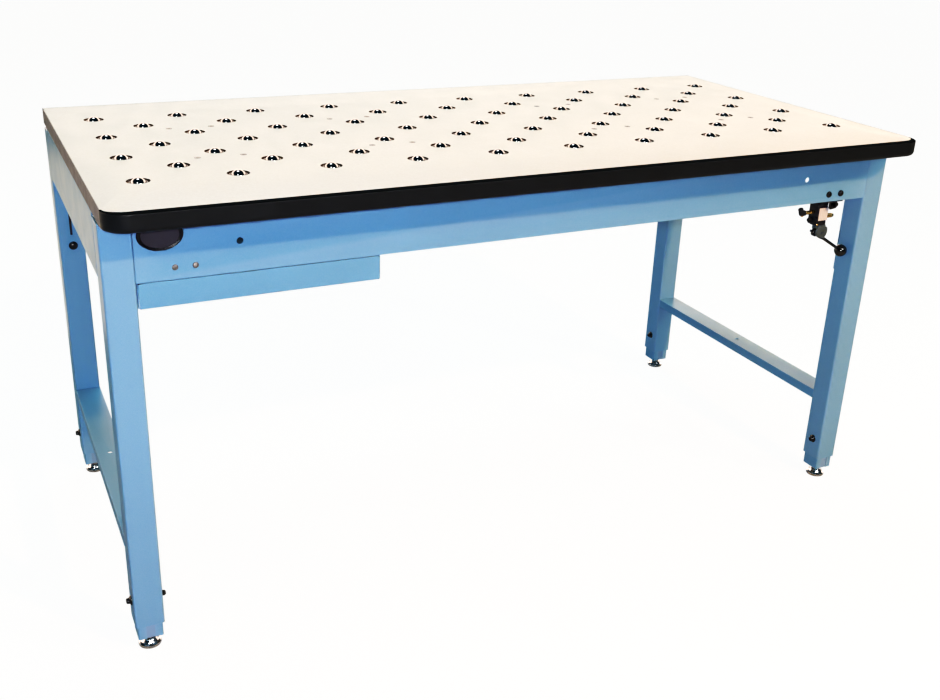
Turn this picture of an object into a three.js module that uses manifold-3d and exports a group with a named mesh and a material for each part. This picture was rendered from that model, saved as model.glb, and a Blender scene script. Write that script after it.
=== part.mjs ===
// Adjustable workbench with pop-up ball transfers, a hand air valve and a shallow drawer.
// Millimetres, +Z up, the front of the bench towards -Y, its long side along X.
// The origin lies on the floor under the middle of the worktop.
import * as THREE from 'three';
import { mergeVertices } from 'three/addons/utils/BufferGeometryUtils.js';
import Module from 'manifold-3d';

const wasm = await Module();
wasm.setup();

// The bench as a whole
const benchLength = 1524;
const benchDepth = 762;
const benchHeight = 786;
const topThickness = 28.6;
const seamGap = 0.3;
const cutOverrun = 1;

// Edges of the worktop
const bumperDepth = 16;
const bumperTip = 3;
const cornerRadius = 38;
const bumperRounding = 3;
const bandThickness = 1.2;

// Ball transfers, in rows that are staggered by half a pitch, as many as the margins leave room for
const ballPitch = 152.4;
const columnMargin = 60;
const rowMargin = 140;
const gridOffset = 19.7;
const ballRadius = 12.7;
const ballRise = 5.5;
const cupWall = 2.3;
const holePlay = 3.5;
const cupRimDrop = 1.4;
const cupRimLip = 1.1;
const cupChamfer = 1.3;
const cupSeat = 1.5;

// Lifting frame under the worktop
const liftTravel = 8;
const railGap = 1;
const railWidth = 38;
const railDepth = 10;
const railWall = 2.5;
const railEnd = 22;
const barWidth = 50;
const barDepth = 18;
const barWall = 2.5;
const barEnd = 26;
const postPlay = 2.5;
const postWall = 2.5;
const postLength = 24;
const postFoot = 16;
const cradleRoom = 4;
const cylinderRadius = 18;
const cylinderHeight = 18.5;
const pistonRadius = 6;
const pistonPlay = 0.8;
const pistonGrip = 9.5;

// Legs
const legWidth = 47.6;
const legWall = 2.5;
const legCorner = 4;
const legSetback = 82.7;
const legTopGap = 2.5;
const outerLegBottom = 50.8;
const innerLegBottom = 24;
const innerLegLength = 330;
const innerLegWall = 2.3;
const innerLegPlay = 0.8;
const innerLegSlot = 14;
const footPlate = 4;
const adjustTravel = 127;
const lockHeight = 93;
const lockRadius = 5;
const lockPlay = 0.5;
const lockHeadRadius = 8.5;
const lockNutRadius = 5.8;
const lockHeadLength = 8.5;
const lockHeadFlange = 1.5;
const lockHeadSlope = 3;
const lockHeadNeckRadius = 5.2;
const lockHeadTipRadius = 3.5;
const lockNutCrown = 2.5;

// Levelling feet
const padRadius = 19;
const padHeight = 14;
const padEdge = 5;
const padBevel = 2;
const padNeckRadius = 9.5;
const padNutHeight = 7;
const studRadius = 4.8;
const studPlay = 0.7;
const studRoom = 10;

// Frame between the legs
const apronHeight = 101.6;
const apronWall = 2;
const apronFlange = 25;
const sideFlange = 20;
const braceTop = 204.5;
const braceDepth = 21;
const braceWall = 2;
const braceLip = 1.5;
const braceHoleRadius = 4.5;
const gussetWall = 2.5;
const gussetHang = 169;
const gussetShoulderHang = 113;
const gussetTopDrop = 22.4;
const gussetInset = 5;
const gussetTab = 1.6;
const gussetSlit = 3;
const gussetRelief = 0.6;

// Holes in the front apron, given from the legs and above the apron's lower edge
const serviceHoleInset = 156.4;
const serviceHoleRise = 49.5;
const serviceHoleRadius = 5.3;
const screwPitch = 30.5;
const screwPlay = 0.4;
const drawerScrewInset = 72.9;
const drawerScrewRise = 18.6;
const valveScrewInset = 79.4;
const valveScrewRise = 15;

// Badge
const badgeInset = 38.9;
const badgeBelowTop = 30.4;
const badgeWidth = 68;
const badgeHeight = 48;
const badgeThickness = 2.5;

// Drawer
const drawerWidth = 380;
const drawerHeight = 40;
const drawerGap = 1.5;
const drawerSide = 2.6;
const drawerDepth = 372;
const drawerSheet = 2;
const drawerCorner = 5;
const caseSheet = 1.8;
const caseSideLength = 41;
const caseStopHeight = 16;
const trayClearance = 5;
const trayFloorRise = 3;
const trayHeadroom = 6.7;
const trayWall = 1.4;
const trayRearGap = 12;
const slideWall = 1.2;
const slidePlay = 0.3;
const shelfPlay = 1;
const caseFlangeHeight = 28;
const caseRibLength = 150;
const notchPlay = 0.6;

// Air valve
const valveInset = 93.1;
const valveBodyWidth = 25.4;
const valveBodyHeight = 49;
const bracketWall = 3;
const bracketWidth = 54;
const bracketHeight = 31;
const bracketReach = 41;
const bracketPlay = 0.3;
const shelfInset = 10;
const noseWidth = 20;
const noseDrop = 15.3;
const noseTipRise = 3.5;
const noseTipWidth = 6;
const noseHoleRadius = 2.4;
const noseHoleInset = 5;
const valveBoltRadius = 3;
const valveBoltLength = 9;
const valveBoltHeadRadius = 5.5;
const valveBoltHeadHeight = 4;
const stemRadius = 4;
const stemLength = 22;
const inletDrop = 23.3;
const elbowRadius = 6.5;
const elbowLength = 16;
const elbowDrop = 9;
const elbowRise = 11;
const outletDrop = 34.8;
const outletHexRadius = 7;
const outletHexLength = 7;
const outletRadius = 4.6;
const outletLength = 28;
const bonnetSetback = 0.6;
const bonnetOverhang = 3.3;
const bonnetHeight = 34;
const bonnetNearHeight = 21;
const bonnetTipHeight = 11;
const bonnetTipWidth = 3;
const bonnetRoof = 6;
const pivotEdge = 15.5;
const pivotPinRadius = 2;
const leverHubRadius = 8;
const leverHubWidth = 7.6;
const leverHubPlay = 0.4;
const leverRodRadius = 2.75;
const leverLength = 92;
const leverLean = THREE.MathUtils.degToRad(58.8);
const knobRadius = 12.7;
const knobBore = 8;

// Facets
const holeSides = 10;
const cupSides = 8;
const roundSides = 12;
const padSides = 16;
const knobRings = 8;
const domeShares = [0.68, 0.34];

// Places that several pieces share
const halfLength = benchLength / 2;
const halfDepth = benchDepth / 2;
const underside = benchHeight - topThickness;
const columnCount = Math.floor((benchLength - 2 * columnMargin) / ballPitch) + 1;
const rowCount = 2 * Math.floor((halfDepth - rowMargin) / (ballPitch / 2)) + 1;
const outerStation = columnCount / 2 - 1.5;
const innerStation = outerStation - 2;
const cupRadius = ballRadius + cupWall;
const holeRadius = cupRadius + holePlay;
const bumperEndY = -halfDepth + cornerRadius;
const worktopFrontY = -halfDepth + bumperDepth;
const legX = halfLength - legWidth / 2;
const legInnerX = halfLength - legWidth;
const legFrontFace = -halfDepth + legSetback;
const frontLegY = legFrontFace + legWidth / 2;
const rearLegY = halfDepth - legWidth / 2;
const apronBottom = underside - apronHeight;
const sideStartY = legFrontFace + legWidth;
const sideEndY = halfDepth - legWidth;
const railTop = underside - railGap;
const railBottom = railTop - railDepth;
const barBottom = railBottom - barDepth;
const cradleFloor = barBottom - liftTravel - cradleRoom;
const postInner = barWidth / 2 + postPlay;
const webBackY = legFrontFace + apronWall;
const screwHoleRadius = valveBoltRadius + screwPlay;
const drawerScrewX = -legInnerX + drawerScrewInset;
const valveScrewX = legInnerX - valveScrewInset;
const caseTop = apronBottom;
const drawerLeftX = -legInnerX + drawerSide;
const drawerRightX = drawerLeftX + drawerWidth;
const drawerTop = caseTop - drawerGap;
const drawerBottom = drawerTop - drawerHeight;
const bodyTop = apronBottom - bracketWall;
const bodyBottom = bodyTop - valveBodyHeight;
const valveX = legInnerX - valveInset;
const valveY = webBackY + bracketPlay + bracketReach / 2;
const inletZ = bodyTop - inletDrop;
const outletZ = bodyTop - outletDrop;
const pivotZ = bodyBottom - bonnetHeight + pivotEdge;

const bench = new THREE.Group();

// Finishes: colour, roughness, metalness
const finishes = {
  laminate: { color: 0xeee5da, roughness: 0.45, metalness: 0 },
  edge: { color: 0x9c8478, roughness: 0.5, metalness: 0 },
  bumper: { color: 0x111214, roughness: 0.4, metalness: 0 },
  frame: { color: 0x6aa5cc, roughness: 0.5, metalness: 0.1 },
  chrome: { color: 0xb9bbbe, roughness: 0.2, metalness: 1 },
  steel: { color: 0x8f9397, roughness: 0.4, metalness: 1 },
  black: { color: 0x15161a, roughness: 0.45, metalness: 0 },
  graphite: { color: 0x4a4d52, roughness: 0.5, metalness: 0.3 },
  brass: { color: 0xb58b4a, roughness: 0.35, metalness: 1 },
};

// A direct product of the outline's two directions and the extrusion's direction for each axis
const axisFrames = {
  x: new THREE.Matrix4().set(0, 0, 1, 0, 1, 0, 0, 0, 0, 1, 0, 0, 0, 0, 0, 1),
  y: new THREE.Matrix4().set(1, 0, 0, 0, 0, 0, -1, 0, 0, 1, 0, 0, 0, 0, 0, 1),
  z: new THREE.Matrix4(),
};

// Extrudes a shape from start to end. Its plane is (y, z) for x, (x, z) for y and (x, y) for z.
function extrudeShape(shape, axis, start, end, curveSegments = 2) {
  const options = { depth: end - start, bevelEnabled: false, curveSegments };
  const geometry = new THREE.ExtrudeGeometry(shape, options);
  geometry.applyMatrix4(axisFrames[axis]);
  const base = axis === 'y' ? end : start;
  geometry.translate(axis === 'x' ? base : 0, axis === 'y' ? base : 0, axis === 'z' ? base : 0);
  return geometry;
}

function shapeFrom(outline) {
  return new THREE.Shape(outline.map(([u, v]) => new THREE.Vector2(u, v)));
}

function prism(outline, axis, start, end) {
  return extrudeShape(shapeFrom(outline), axis, start, end);
}

// Corners of a regular polygon that stands for a round outline
function ring(radius, sides, centreU = 0, centreV = 0) {
  return Array.from({ length: sides }, (_, index) => {
    const angle = (index + 0.5) * 2 * Math.PI / sides;
    return [centreU + radius * Math.cos(angle), centreV + radius * Math.sin(angle)];
  });
}

// A block between two corners
function block(x0, x1, y0, y1, z0, z1) {
  const geometry = new THREE.BoxGeometry(x1 - x0, y1 - y0, z1 - z0);
  geometry.translate((x0 + x1) / 2, (y0 + y1) / 2, (z0 + z1) / 2);
  return geometry;
}

// A round piece turned about Z from [radius, height] points that rise from the axis to the axis
function turned(profile, sides) {
  const points = profile.map(([radius, height]) => new THREE.Vector2(radius, height));
  const geometry = new THREE.LatheGeometry(points, sides);
  geometry.rotateX(Math.PI / 2);
  return geometry;
}

function solid(geometry) {
  const bare = geometry.clone();
  bare.deleteAttribute('normal');
  bare.deleteAttribute('uv');
  const merged = mergeVertices(bare);
  return new wasm.Manifold(new wasm.Mesh({
    numProp: 3,
    vertProperties: merged.attributes.position.array,
    triVerts: new Uint32Array(merged.index.array),
  }));
}

function geometryOf(body) {
  const mesh = body.getMesh();
  const geometry = new THREE.BufferGeometry();
  geometry.setAttribute('position', new THREE.BufferAttribute(mesh.vertProperties, 3));
  geometry.setIndex(new THREE.BufferAttribute(mesh.triVerts, 1));
  return geometry;
}

// Joins the pieces of the first list and cuts away those of the second
function shaped(joined, cuts = []) {
  const whole = joined.map(solid).reduce((body, piece) => body.add(piece));
  return geometryOf(cuts.map(solid).reduce((body, piece) => body.subtract(piece), whole));
}

function place(name, geometry, finish, x = 0, y = 0, z = 0) {
  const mesh = new THREE.Mesh(geometry, new THREE.MeshStandardMaterial(finishes[finish]));
  mesh.name = name;
  mesh.position.set(x, y, z);
  bench.add(mesh);
  return mesh;
}

// A rounded rectangle around the origin
function roundedRectangle(width, depth, radius) {
  const u = width / 2;
  const v = depth / 2;
  const shape = new THREE.Shape();
  shape.moveTo(-u + radius, -v);
  shape.lineTo(u - radius, -v);
  shape.absarc(u - radius, -v + radius, radius, -Math.PI / 2, 0);
  shape.lineTo(u, v - radius);
  shape.absarc(u - radius, v - radius, radius, 0, Math.PI / 2);
  shape.lineTo(-u + radius, v);
  shape.absarc(-u + radius, v - radius, radius, Math.PI / 2, Math.PI);
  shape.lineTo(-u, -v + radius);
  shape.absarc(-u + radius, -v + radius, radius, Math.PI, 1.5 * Math.PI);
  return shape;
}

// A channel's section: the web stands at the start, the flanges run towards the given side
function channelOutline(start, side, flange, low, high, wall) {
  const tip = start + side * flange;
  const inner = start + side * wall;
  return [
    [start, low], [tip, low], [tip, low + wall], [inner, low + wall],
    [inner, high - wall], [tip, high - wall], [tip, high], [start, high],
  ];
}

// A channel that opens downwards, as wide as twice the half width
function hoodOutline(half, top, depth, wall) {
  const low = top - depth;
  return [
    [-half, low], [-half + wall, low], [-half + wall, top - wall], [half - wall, top - wall],
    [half - wall, low], [half, low], [half, top], [-half, top],
  ];
}

// Places of the ball transfers: even rows carry a full row, odd rows one fewer, half a pitch over
function rowY(row) {
  return gridOffset + (row - (rowCount - 1) / 2) * ballPitch / 2;
}

function rowX(row) {
  const count = row % 2 === 0 ? columnCount : columnCount - 1;
  return Array.from({ length: count }, (_, column) => (column - (count - 1) / 2) * ballPitch);
}

// The worktop's outline, with the front corners drawn in behind the bumper
function worktopShape() {
  const side = halfLength - bandThickness;
  const tip = halfLength - bumperTip - seamGap;
  const cornerX = halfLength - cornerRadius;
  const acrossX = tip - cornerX;
  const acrossY = bumperEndY - worktopFrontY;
  const shape = new THREE.Shape();
  shape.moveTo(side, bumperEndY + seamGap);
  shape.lineTo(side, halfDepth - bandThickness);
  shape.lineTo(-side, halfDepth - bandThickness);
  shape.lineTo(-side, bumperEndY + seamGap);
  shape.lineTo(-tip, bumperEndY + seamGap);
  shape.lineTo(-tip, bumperEndY);
  shape.absellipse(-cornerX, bumperEndY, acrossX, acrossY, Math.PI, 1.5 * Math.PI);
  shape.absellipse(cornerX, bumperEndY, acrossX, acrossY, -Math.PI / 2, 0);
  shape.lineTo(tip, bumperEndY + seamGap);
  return shape;
}

function makeWorktop() {
  const shape = worktopShape();
  for (let row = 0; row < rowCount; row += 1) {
    for (const x of rowX(row)) {
      shape.holes.push(shapeFrom(ring(holeRadius, holeSides, x, rowY(row))));
    }
  }
  place('worktop', extrudeShape(shape, 'z', underside, benchHeight, 5), 'laminate');
}

// The bumper runs along the front and round both front corners
function makeBumper() {
  const cornerX = halfLength - cornerRadius;
  const acrossX = halfLength - bumperTip - cornerX;
  const acrossY = bumperEndY - worktopFrontY + seamGap;
  const shape = new THREE.Shape();
  shape.moveTo(-halfLength, bumperEndY);
  shape.absarc(-cornerX, bumperEndY, cornerRadius, Math.PI, 1.5 * Math.PI);
  shape.absarc(cornerX, bumperEndY, cornerRadius, -Math.PI / 2, 0);
  shape.lineTo(halfLength - bumperTip, bumperEndY);
  shape.absellipse(cornerX, bumperEndY, acrossX, acrossY, 0, -Math.PI / 2, true);
  shape.absellipse(-cornerX, bumperEndY, acrossX, acrossY, 1.5 * Math.PI, Math.PI, true);
  const strip = solid(extrudeShape(shape, 'z', underside, benchHeight, 5));
  const slabShape = roundedRectangle(
    benchLength - 2 * bumperRounding, benchDepth - 2 * bumperRounding, cornerRadius - bumperRounding,
  );
  const slab = new THREE.ExtrudeGeometry(slabShape, {
    depth: topThickness - 2 * bumperRounding,
    bevelThickness: bumperRounding,
    bevelSize: bumperRounding,
    bevelSegments: 3,
    curveSegments: 5,
  });
  slab.translate(0, 0, underside + bumperRounding);
  place('front_bumper', geometryOf(strip.intersect(solid(slab))), 'bumper');
}

function makeEdgeBand() {
  const outer = halfLength;
  const inner = halfLength - bandThickness;
  const end = bumperEndY + seamGap;
  place('edge_band', prism([
    [-outer, end], [-inner, end], [-inner, halfDepth - bandThickness], [inner, halfDepth - bandThickness],
    [inner, end], [outer, end], [outer, halfDepth], [-outer, halfDepth],
  ], 'z', underside, benchHeight), 'edge');
}

// One row: a rail with its ball cups and balls
function makeBallRow(row) {
  const places = rowX(row);
  const y = rowY(row);
  const first = places[0] - railEnd;
  const last = places[places.length - 1] + railEnd;
  const section = hoodOutline(railWidth / 2, railTop, railDepth, railWall);
  const ballCentre = benchHeight + ballRise - ballRadius;
  const rim = benchHeight - cupRimDrop;
  const rimRadius = ballRadius - cupRimLip;
  const dome = domeShares.map((share) => {
    const radius = rimRadius * share;
    return [radius, ballCentre + Math.sqrt(ballRadius ** 2 - radius ** 2)];
  });
  const unit = turned([
    [0, railTop - cupSeat], [cupRadius, railTop - cupSeat], [cupRadius, rim - cupChamfer],
    [cupRadius - cupChamfer, rim], [rimRadius, rim], ...dome, [0, benchHeight + ballRise],
  ], cupSides);
  const units = places.map((x) => unit.clone().translate(x, 0, 0));
  const rail = prism(section, 'x', first, last);
  place(`ball_row_${row + 1}`, shaped([rail, ...units]), 'chrome', 0, y, 0);
}

// A cross bar carries all the rows and stands on the piston of its cradle
function makeLiftBar(station, x) {
  const front = rowY(0) - barEnd;
  const back = rowY(rowCount - 1) + barEnd;
  const webUnder = railBottom - barWall;
  const bar = prism(hoodOutline(barWidth / 2, railBottom, barDepth, barWall), 'y', front, back);
  const pistonLow = cradleFloor + cylinderHeight - pistonGrip;
  const piston = prism(ring(pistonRadius, roundSides, 0, gridOffset), 'z', pistonLow, webUnder + barWall / 2);
  place(`lift_bar_${station}`, shaped([bar, piston]), 'steel', x, 0, 0);
}

// A cradle hangs from the worktop on four posts and holds the air cylinder
function makeLiftCradle(station, x) {
  const reach = 1.5 * ballPitch / 2 + postLength / 2;
  const outer = postInner + postWall;
  const floor = block(-outer, outer, gridOffset - reach, gridOffset + reach, cradleFloor - postWall, cradleFloor);
  const posts = [-1, 1].flatMap((end) => {
    const y = gridOffset + end * (reach - postLength / 2);
    return [-1, 1].map((side) => {
      const tip = side * (outer + postFoot);
      const outline = [
        [side * postInner, cradleFloor - postWall], [side * outer, cradleFloor - postWall],
        [side * outer, underside - postWall], [tip, underside - postWall],
        [tip, underside], [side * postInner, underside],
      ];
      return prism(outline, 'y', y - postLength / 2, y + postLength / 2);
    });
  });
  const seat = cradleFloor - postWall / 2;
  const cylinder = prism(ring(cylinderRadius, roundSides, 0, gridOffset), 'z', seat, cradleFloor + cylinderHeight);
  const boreRadius = pistonRadius + pistonPlay;
  const bore = prism(
    ring(boreRadius, roundSides, 0, gridOffset), 'z', cradleFloor, cradleFloor + cylinderHeight + cutOverrun,
  );
  place(`lift_cradle_${station}`, shaped([floor, ...posts, cylinder], [bore]), 'steel', x, 0, 0);
}

// Pieces of a leg are drawn about the leg's own axis and placed at the four corners
function makeLeg(name, x, y) {
  const inside = legWidth - 2 * legWall;
  const tubeShape = roundedRectangle(legWidth, legWidth, legCorner);
  tubeShape.holes.push(roundedRectangle(inside, inside, legCorner - legWall));
  const tube = extrudeShape(tubeShape, 'z', outerLegBottom, underside - legTopGap, 1);
  const reach = legWidth / 2 + cutOverrun;
  const lockHole = prism(ring(lockRadius + lockPlay, roundSides, 0, lockHeight), 'x', -reach, reach);
  place(`outer_leg_${name}`, shaped([tube], [lockHole]), 'frame', x, y, 0);

  const half = inside / 2 - innerLegPlay;
  const hollow = half - innerLegWall;
  const innerTop = innerLegBottom + innerLegLength;
  const mouth = innerLegSlot / 2;
  const column = prism([
    [-mouth, -half], [-half, -half], [-half, half], [half, half], [half, -half], [mouth, -half],
    [mouth, -hollow], [hollow, -hollow], [hollow, hollow], [-hollow, hollow], [-hollow, -hollow],
    [-mouth, -hollow],
  ], 'z', innerLegBottom, innerTop);
  const plate = block(-half, half, -half, half, innerLegBottom, innerLegBottom + footPlate);
  const slotHalf = lockRadius + lockPlay;
  const lockSlot = block(
    -half - cutOverrun, half + cutOverrun, -slotHalf, slotHalf,
    lockHeight - slotHalf, lockHeight + adjustTravel + slotHalf,
  );
  const studHole = prism(
    ring(studRadius + studPlay, roundSides), 'z', innerLegBottom - cutOverrun, innerLegBottom + footPlate + cutOverrun,
  );
  place(`inner_leg_${name}`, shaped([column, plate], [lockSlot, studHole]), 'frame', x, y, 0);

  const nutTop = padHeight + padNutHeight;
  const studTop = lockHeight - lockRadius - studRoom;
  const foot = turned([
    [0, 0], [padRadius - padBevel, 0], [padRadius, padBevel], [padRadius, padEdge],
    [padNeckRadius, padHeight], [padNeckRadius, nutTop], [studRadius, nutTop], [studRadius, studTop], [0, studTop],
  ], padSides);
  place(`leveling_foot_${name}`, shaped([foot]), 'chrome', x, y, 0);

  const face = legWidth / 2;
  const end = face + lockHeadLength;
  const bolt = turned([
    [0, -end], [lockHeadTipRadius, -end], [lockHeadNeckRadius, -face - lockHeadSlope],
    [lockHeadRadius, -face - lockHeadFlange], [lockHeadRadius, -face], [lockRadius, -face], [lockRadius, face],
    [lockNutRadius, face], [lockNutRadius, end - lockNutCrown], [lockNutRadius - lockNutCrown, end], [0, end],
  ], roundSides);
  bolt.rotateY(Math.PI / 2);
  place(`leg_lock_bolt_${name}`, shaped([bolt]), 'black', x, y, lockHeight);
}

// A plate on the face of a leg that looks along the bench's depth, slit above its shoulder
function makeGusset(name, sideX, facing) {
  const outer = sideX * (halfLength - gussetInset);
  const inner = sideX * (legInnerX + gussetTab);
  const legMiddle = sideX * legX;
  const slitOuter = legMiddle + sideX * gussetSlit / 2;
  const slitInner = legMiddle - sideX * gussetSlit / 2;
  const low = apronBottom - gussetHang;
  const shoulder = apronBottom - gussetShoulderHang;
  const top = underside - gussetTopDrop;
  const outline = [
    [outer, low], [inner, low], [inner, top], [slitInner, top],
    [slitInner, shoulder], [slitOuter, shoulder], [slitOuter, top], [outer, top],
  ];
  const rear = facing === 'front' ? sideEndY : sideStartY + gussetWall;
  place(`leg_gusset_${name}`, prism(outline, 'y', rear - gussetWall, rear), 'frame');
}

function makeFrontApron() {
  const section = channelOutline(legFrontFace, 1, apronFlange, apronBottom, underside, apronWall);
  const channel = prism(section, 'x', -legInnerX, legInnerX);
  const from = legFrontFace - cutOverrun;
  const to = webBackY + cutOverrun;
  const hole = (x, rise, radius) => (
    prism(ring(radius, roundSides, x, apronBottom + rise), 'y', from, to)
  );
  const pair = (x, rise) => [-1, 1].map((side) => hole(x + side * screwPitch / 2, rise, screwHoleRadius));
  const notch = (x0, x1, depth) => block(
    x0 - notchPlay, x1 + notchPlay, webBackY, webBackY + depth + notchPlay,
    apronBottom - cutOverrun, apronBottom + apronWall + cutOverrun,
  );
  const serviceX = legInnerX - serviceHoleInset;
  place('front_apron', shaped([channel], [
    hole(-serviceX, serviceHoleRise, serviceHoleRadius),
    hole(serviceX, serviceHoleRise, serviceHoleRadius),
    ...pair(drawerScrewX, drawerScrewRise),
    ...pair(valveScrewX, valveScrewRise),
    notch(drawerLeftX - caseSheet, drawerRightX + caseSheet, apronFlange),
    notch(valveScrewX - bracketWidth / 2, valveScrewX + bracketWidth / 2, bracketWall + bracketPlay),
  ]), 'frame');
}

function makeRearApron() {
  const section = channelOutline(halfDepth, -1, apronFlange, apronBottom, underside, apronWall);
  place('rear_apron', prism(section, 'x', -legInnerX, legInnerX), 'frame');
}

// The flanges of a side apron stop short of the gussets on the legs
function makeSideApron(name, side) {
  const web = side * halfLength;
  const section = channelOutline(web, -side, sideFlange, apronBottom, underside, apronWall);
  const channel = prism(section, 'y', sideStartY, sideEndY);
  const relief = gussetWall + gussetRelief;
  const near = side * (halfLength - apronWall);
  const far = side * (halfLength - sideFlange - cutOverrun);
  const cut = (y0, y1) => block(
    Math.min(near, far), Math.max(near, far), y0, y1, apronBottom - cutOverrun, underside + cutOverrun,
  );
  place(`side_apron_${name}`, shaped([channel], [
    cut(sideStartY - cutOverrun, sideStartY + relief),
    cut(sideEndY - relief, sideEndY + cutOverrun),
  ]), 'frame');
}

// A hood-shaped rail between the legs of one end, with a lip towards the middle of the bench
function makeLowerBrace(name, side) {
  const outer = side * halfLength;
  const inner = side * legInnerX;
  const low = braceTop - braceDepth;
  const outline = [
    [outer, low], [outer, braceTop], [inner, braceTop], [inner, braceTop - braceWall],
    [inner + side * braceLip, braceTop - braceWall], [inner + side * braceLip, low],
    [inner + side * (braceLip + braceWall), low], [inner + side * (braceLip + braceWall), braceTop - braceWall],
    [outer - side * braceWall, braceTop - braceWall], [outer - side * braceWall, low],
  ];
  const rail = prism(outline, 'y', sideStartY, sideEndY);
  const middle = (sideStartY + sideEndY) / 2;
  const hole = prism(
    ring(braceHoleRadius, roundSides, side * legX, middle), 'z', braceTop - braceWall - cutOverrun, braceTop + cutOverrun,
  );
  place(`lower_brace_${name}`, shaped([rail], [hole]), 'frame');
}

function makeBadge() {
  const shape = new THREE.Shape();
  const x = -legInnerX + badgeInset;
  shape.absellipse(x, underside - badgeBelowTop, badgeWidth / 2, badgeHeight / 2, 0, 2 * Math.PI);
  place('badge_plate', extrudeShape(shape, 'y', legFrontFace - badgeThickness, legFrontFace, 10), 'black');
}

// The case hangs from a flange behind the front apron, which two ribs stiffen
function makeDrawerCase() {
  const left = drawerLeftX - caseSheet;
  const right = drawerRightX + caseSheet;
  const front = webBackY + seamGap;
  const back = front + drawerDepth;
  const low = Math.max(drawerBottom, caseTop - caseSideLength);
  const flangeTop = caseTop + caseFlangeHeight;
  const rib = (start) => prism([
    [front, caseTop - caseSheet], [front + caseRibLength, caseTop - caseSheet],
    [front + caseRibLength, caseTop], [front, flangeTop],
  ], 'x', start, start + caseSheet);
  const sheets = [
    block(left, right, front, back, caseTop - caseSheet, caseTop),
    block(left, drawerLeftX, front, back, low, caseTop),
    block(drawerRightX, right, front, back, low, caseTop),
    block(left, right, back - caseSheet, back, caseTop - caseStopHeight, caseTop),
    block(left, right, front, front + caseSheet, caseTop - caseSheet, flangeTop),
    rib(left),
    rib(drawerRightX),
  ];
  const holes = [-1, 1].map((side) => prism(
    ring(screwHoleRadius, roundSides, drawerScrewX + side * screwPitch / 2, apronBottom + drawerScrewRise),
    'y', front - cutOverrun, front + caseSheet + cutOverrun,
  ));
  place('drawer_case', shaped(sheets, holes), 'frame');
}

// The tray hangs by its lips on two slides that the case carries
function makeDrawer() {
  const left = drawerLeftX + trayClearance;
  const right = drawerRightX - trayClearance;
  const front = webBackY;
  const back = front + drawerDepth - trayRearGap;
  const floor = drawerBottom + trayFloorRise;
  const top = caseTop - caseSheet - trayHeadroom;
  const lip = trayClearance - slideWall - slidePlay;
  const outside = block(left, right, front, back, floor, top);
  const lips = block(left - lip, right + lip, front + trayWall, back, top - trayWall, top);
  const hollow = block(
    left + trayWall, right - trayWall, front + trayWall, back - trayWall, floor + trayWall, top + cutOverrun,
  );
  place('drawer_tray', shaped([outside, lips], [hollow]), 'steel');

  const panel = roundedRectangle(drawerWidth, drawerHeight, drawerCorner);
  const panelMesh = extrudeShape(panel, 'y', legFrontFace, legFrontFace + drawerSheet, 2);
  place('drawer_front', panelMesh, 'frame', drawerLeftX + drawerWidth / 2, 0, drawerBottom + drawerHeight / 2);

  const shelfTop = top - trayWall - slidePlay;
  const shelf = trayClearance - shelfPlay;
  const slideEnd = webBackY + seamGap + drawerDepth - caseSheet;
  for (const [name, wall, side] of [['left', drawerLeftX, 1], ['right', drawerRightX, -1]]) {
    const outline = [
      [wall, shelfTop - slideWall], [wall + side * shelf, shelfTop - slideWall],
      [wall + side * shelf, shelfTop], [wall + side * slideWall, shelfTop],
      [wall + side * slideWall, top + slidePlay], [wall, top + slidePlay],
    ];
    place(`drawer_slide_${name}`, prism(outline, 'y', webBackY + 2 * seamGap, slideEnd), 'steel');
  }
}

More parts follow.
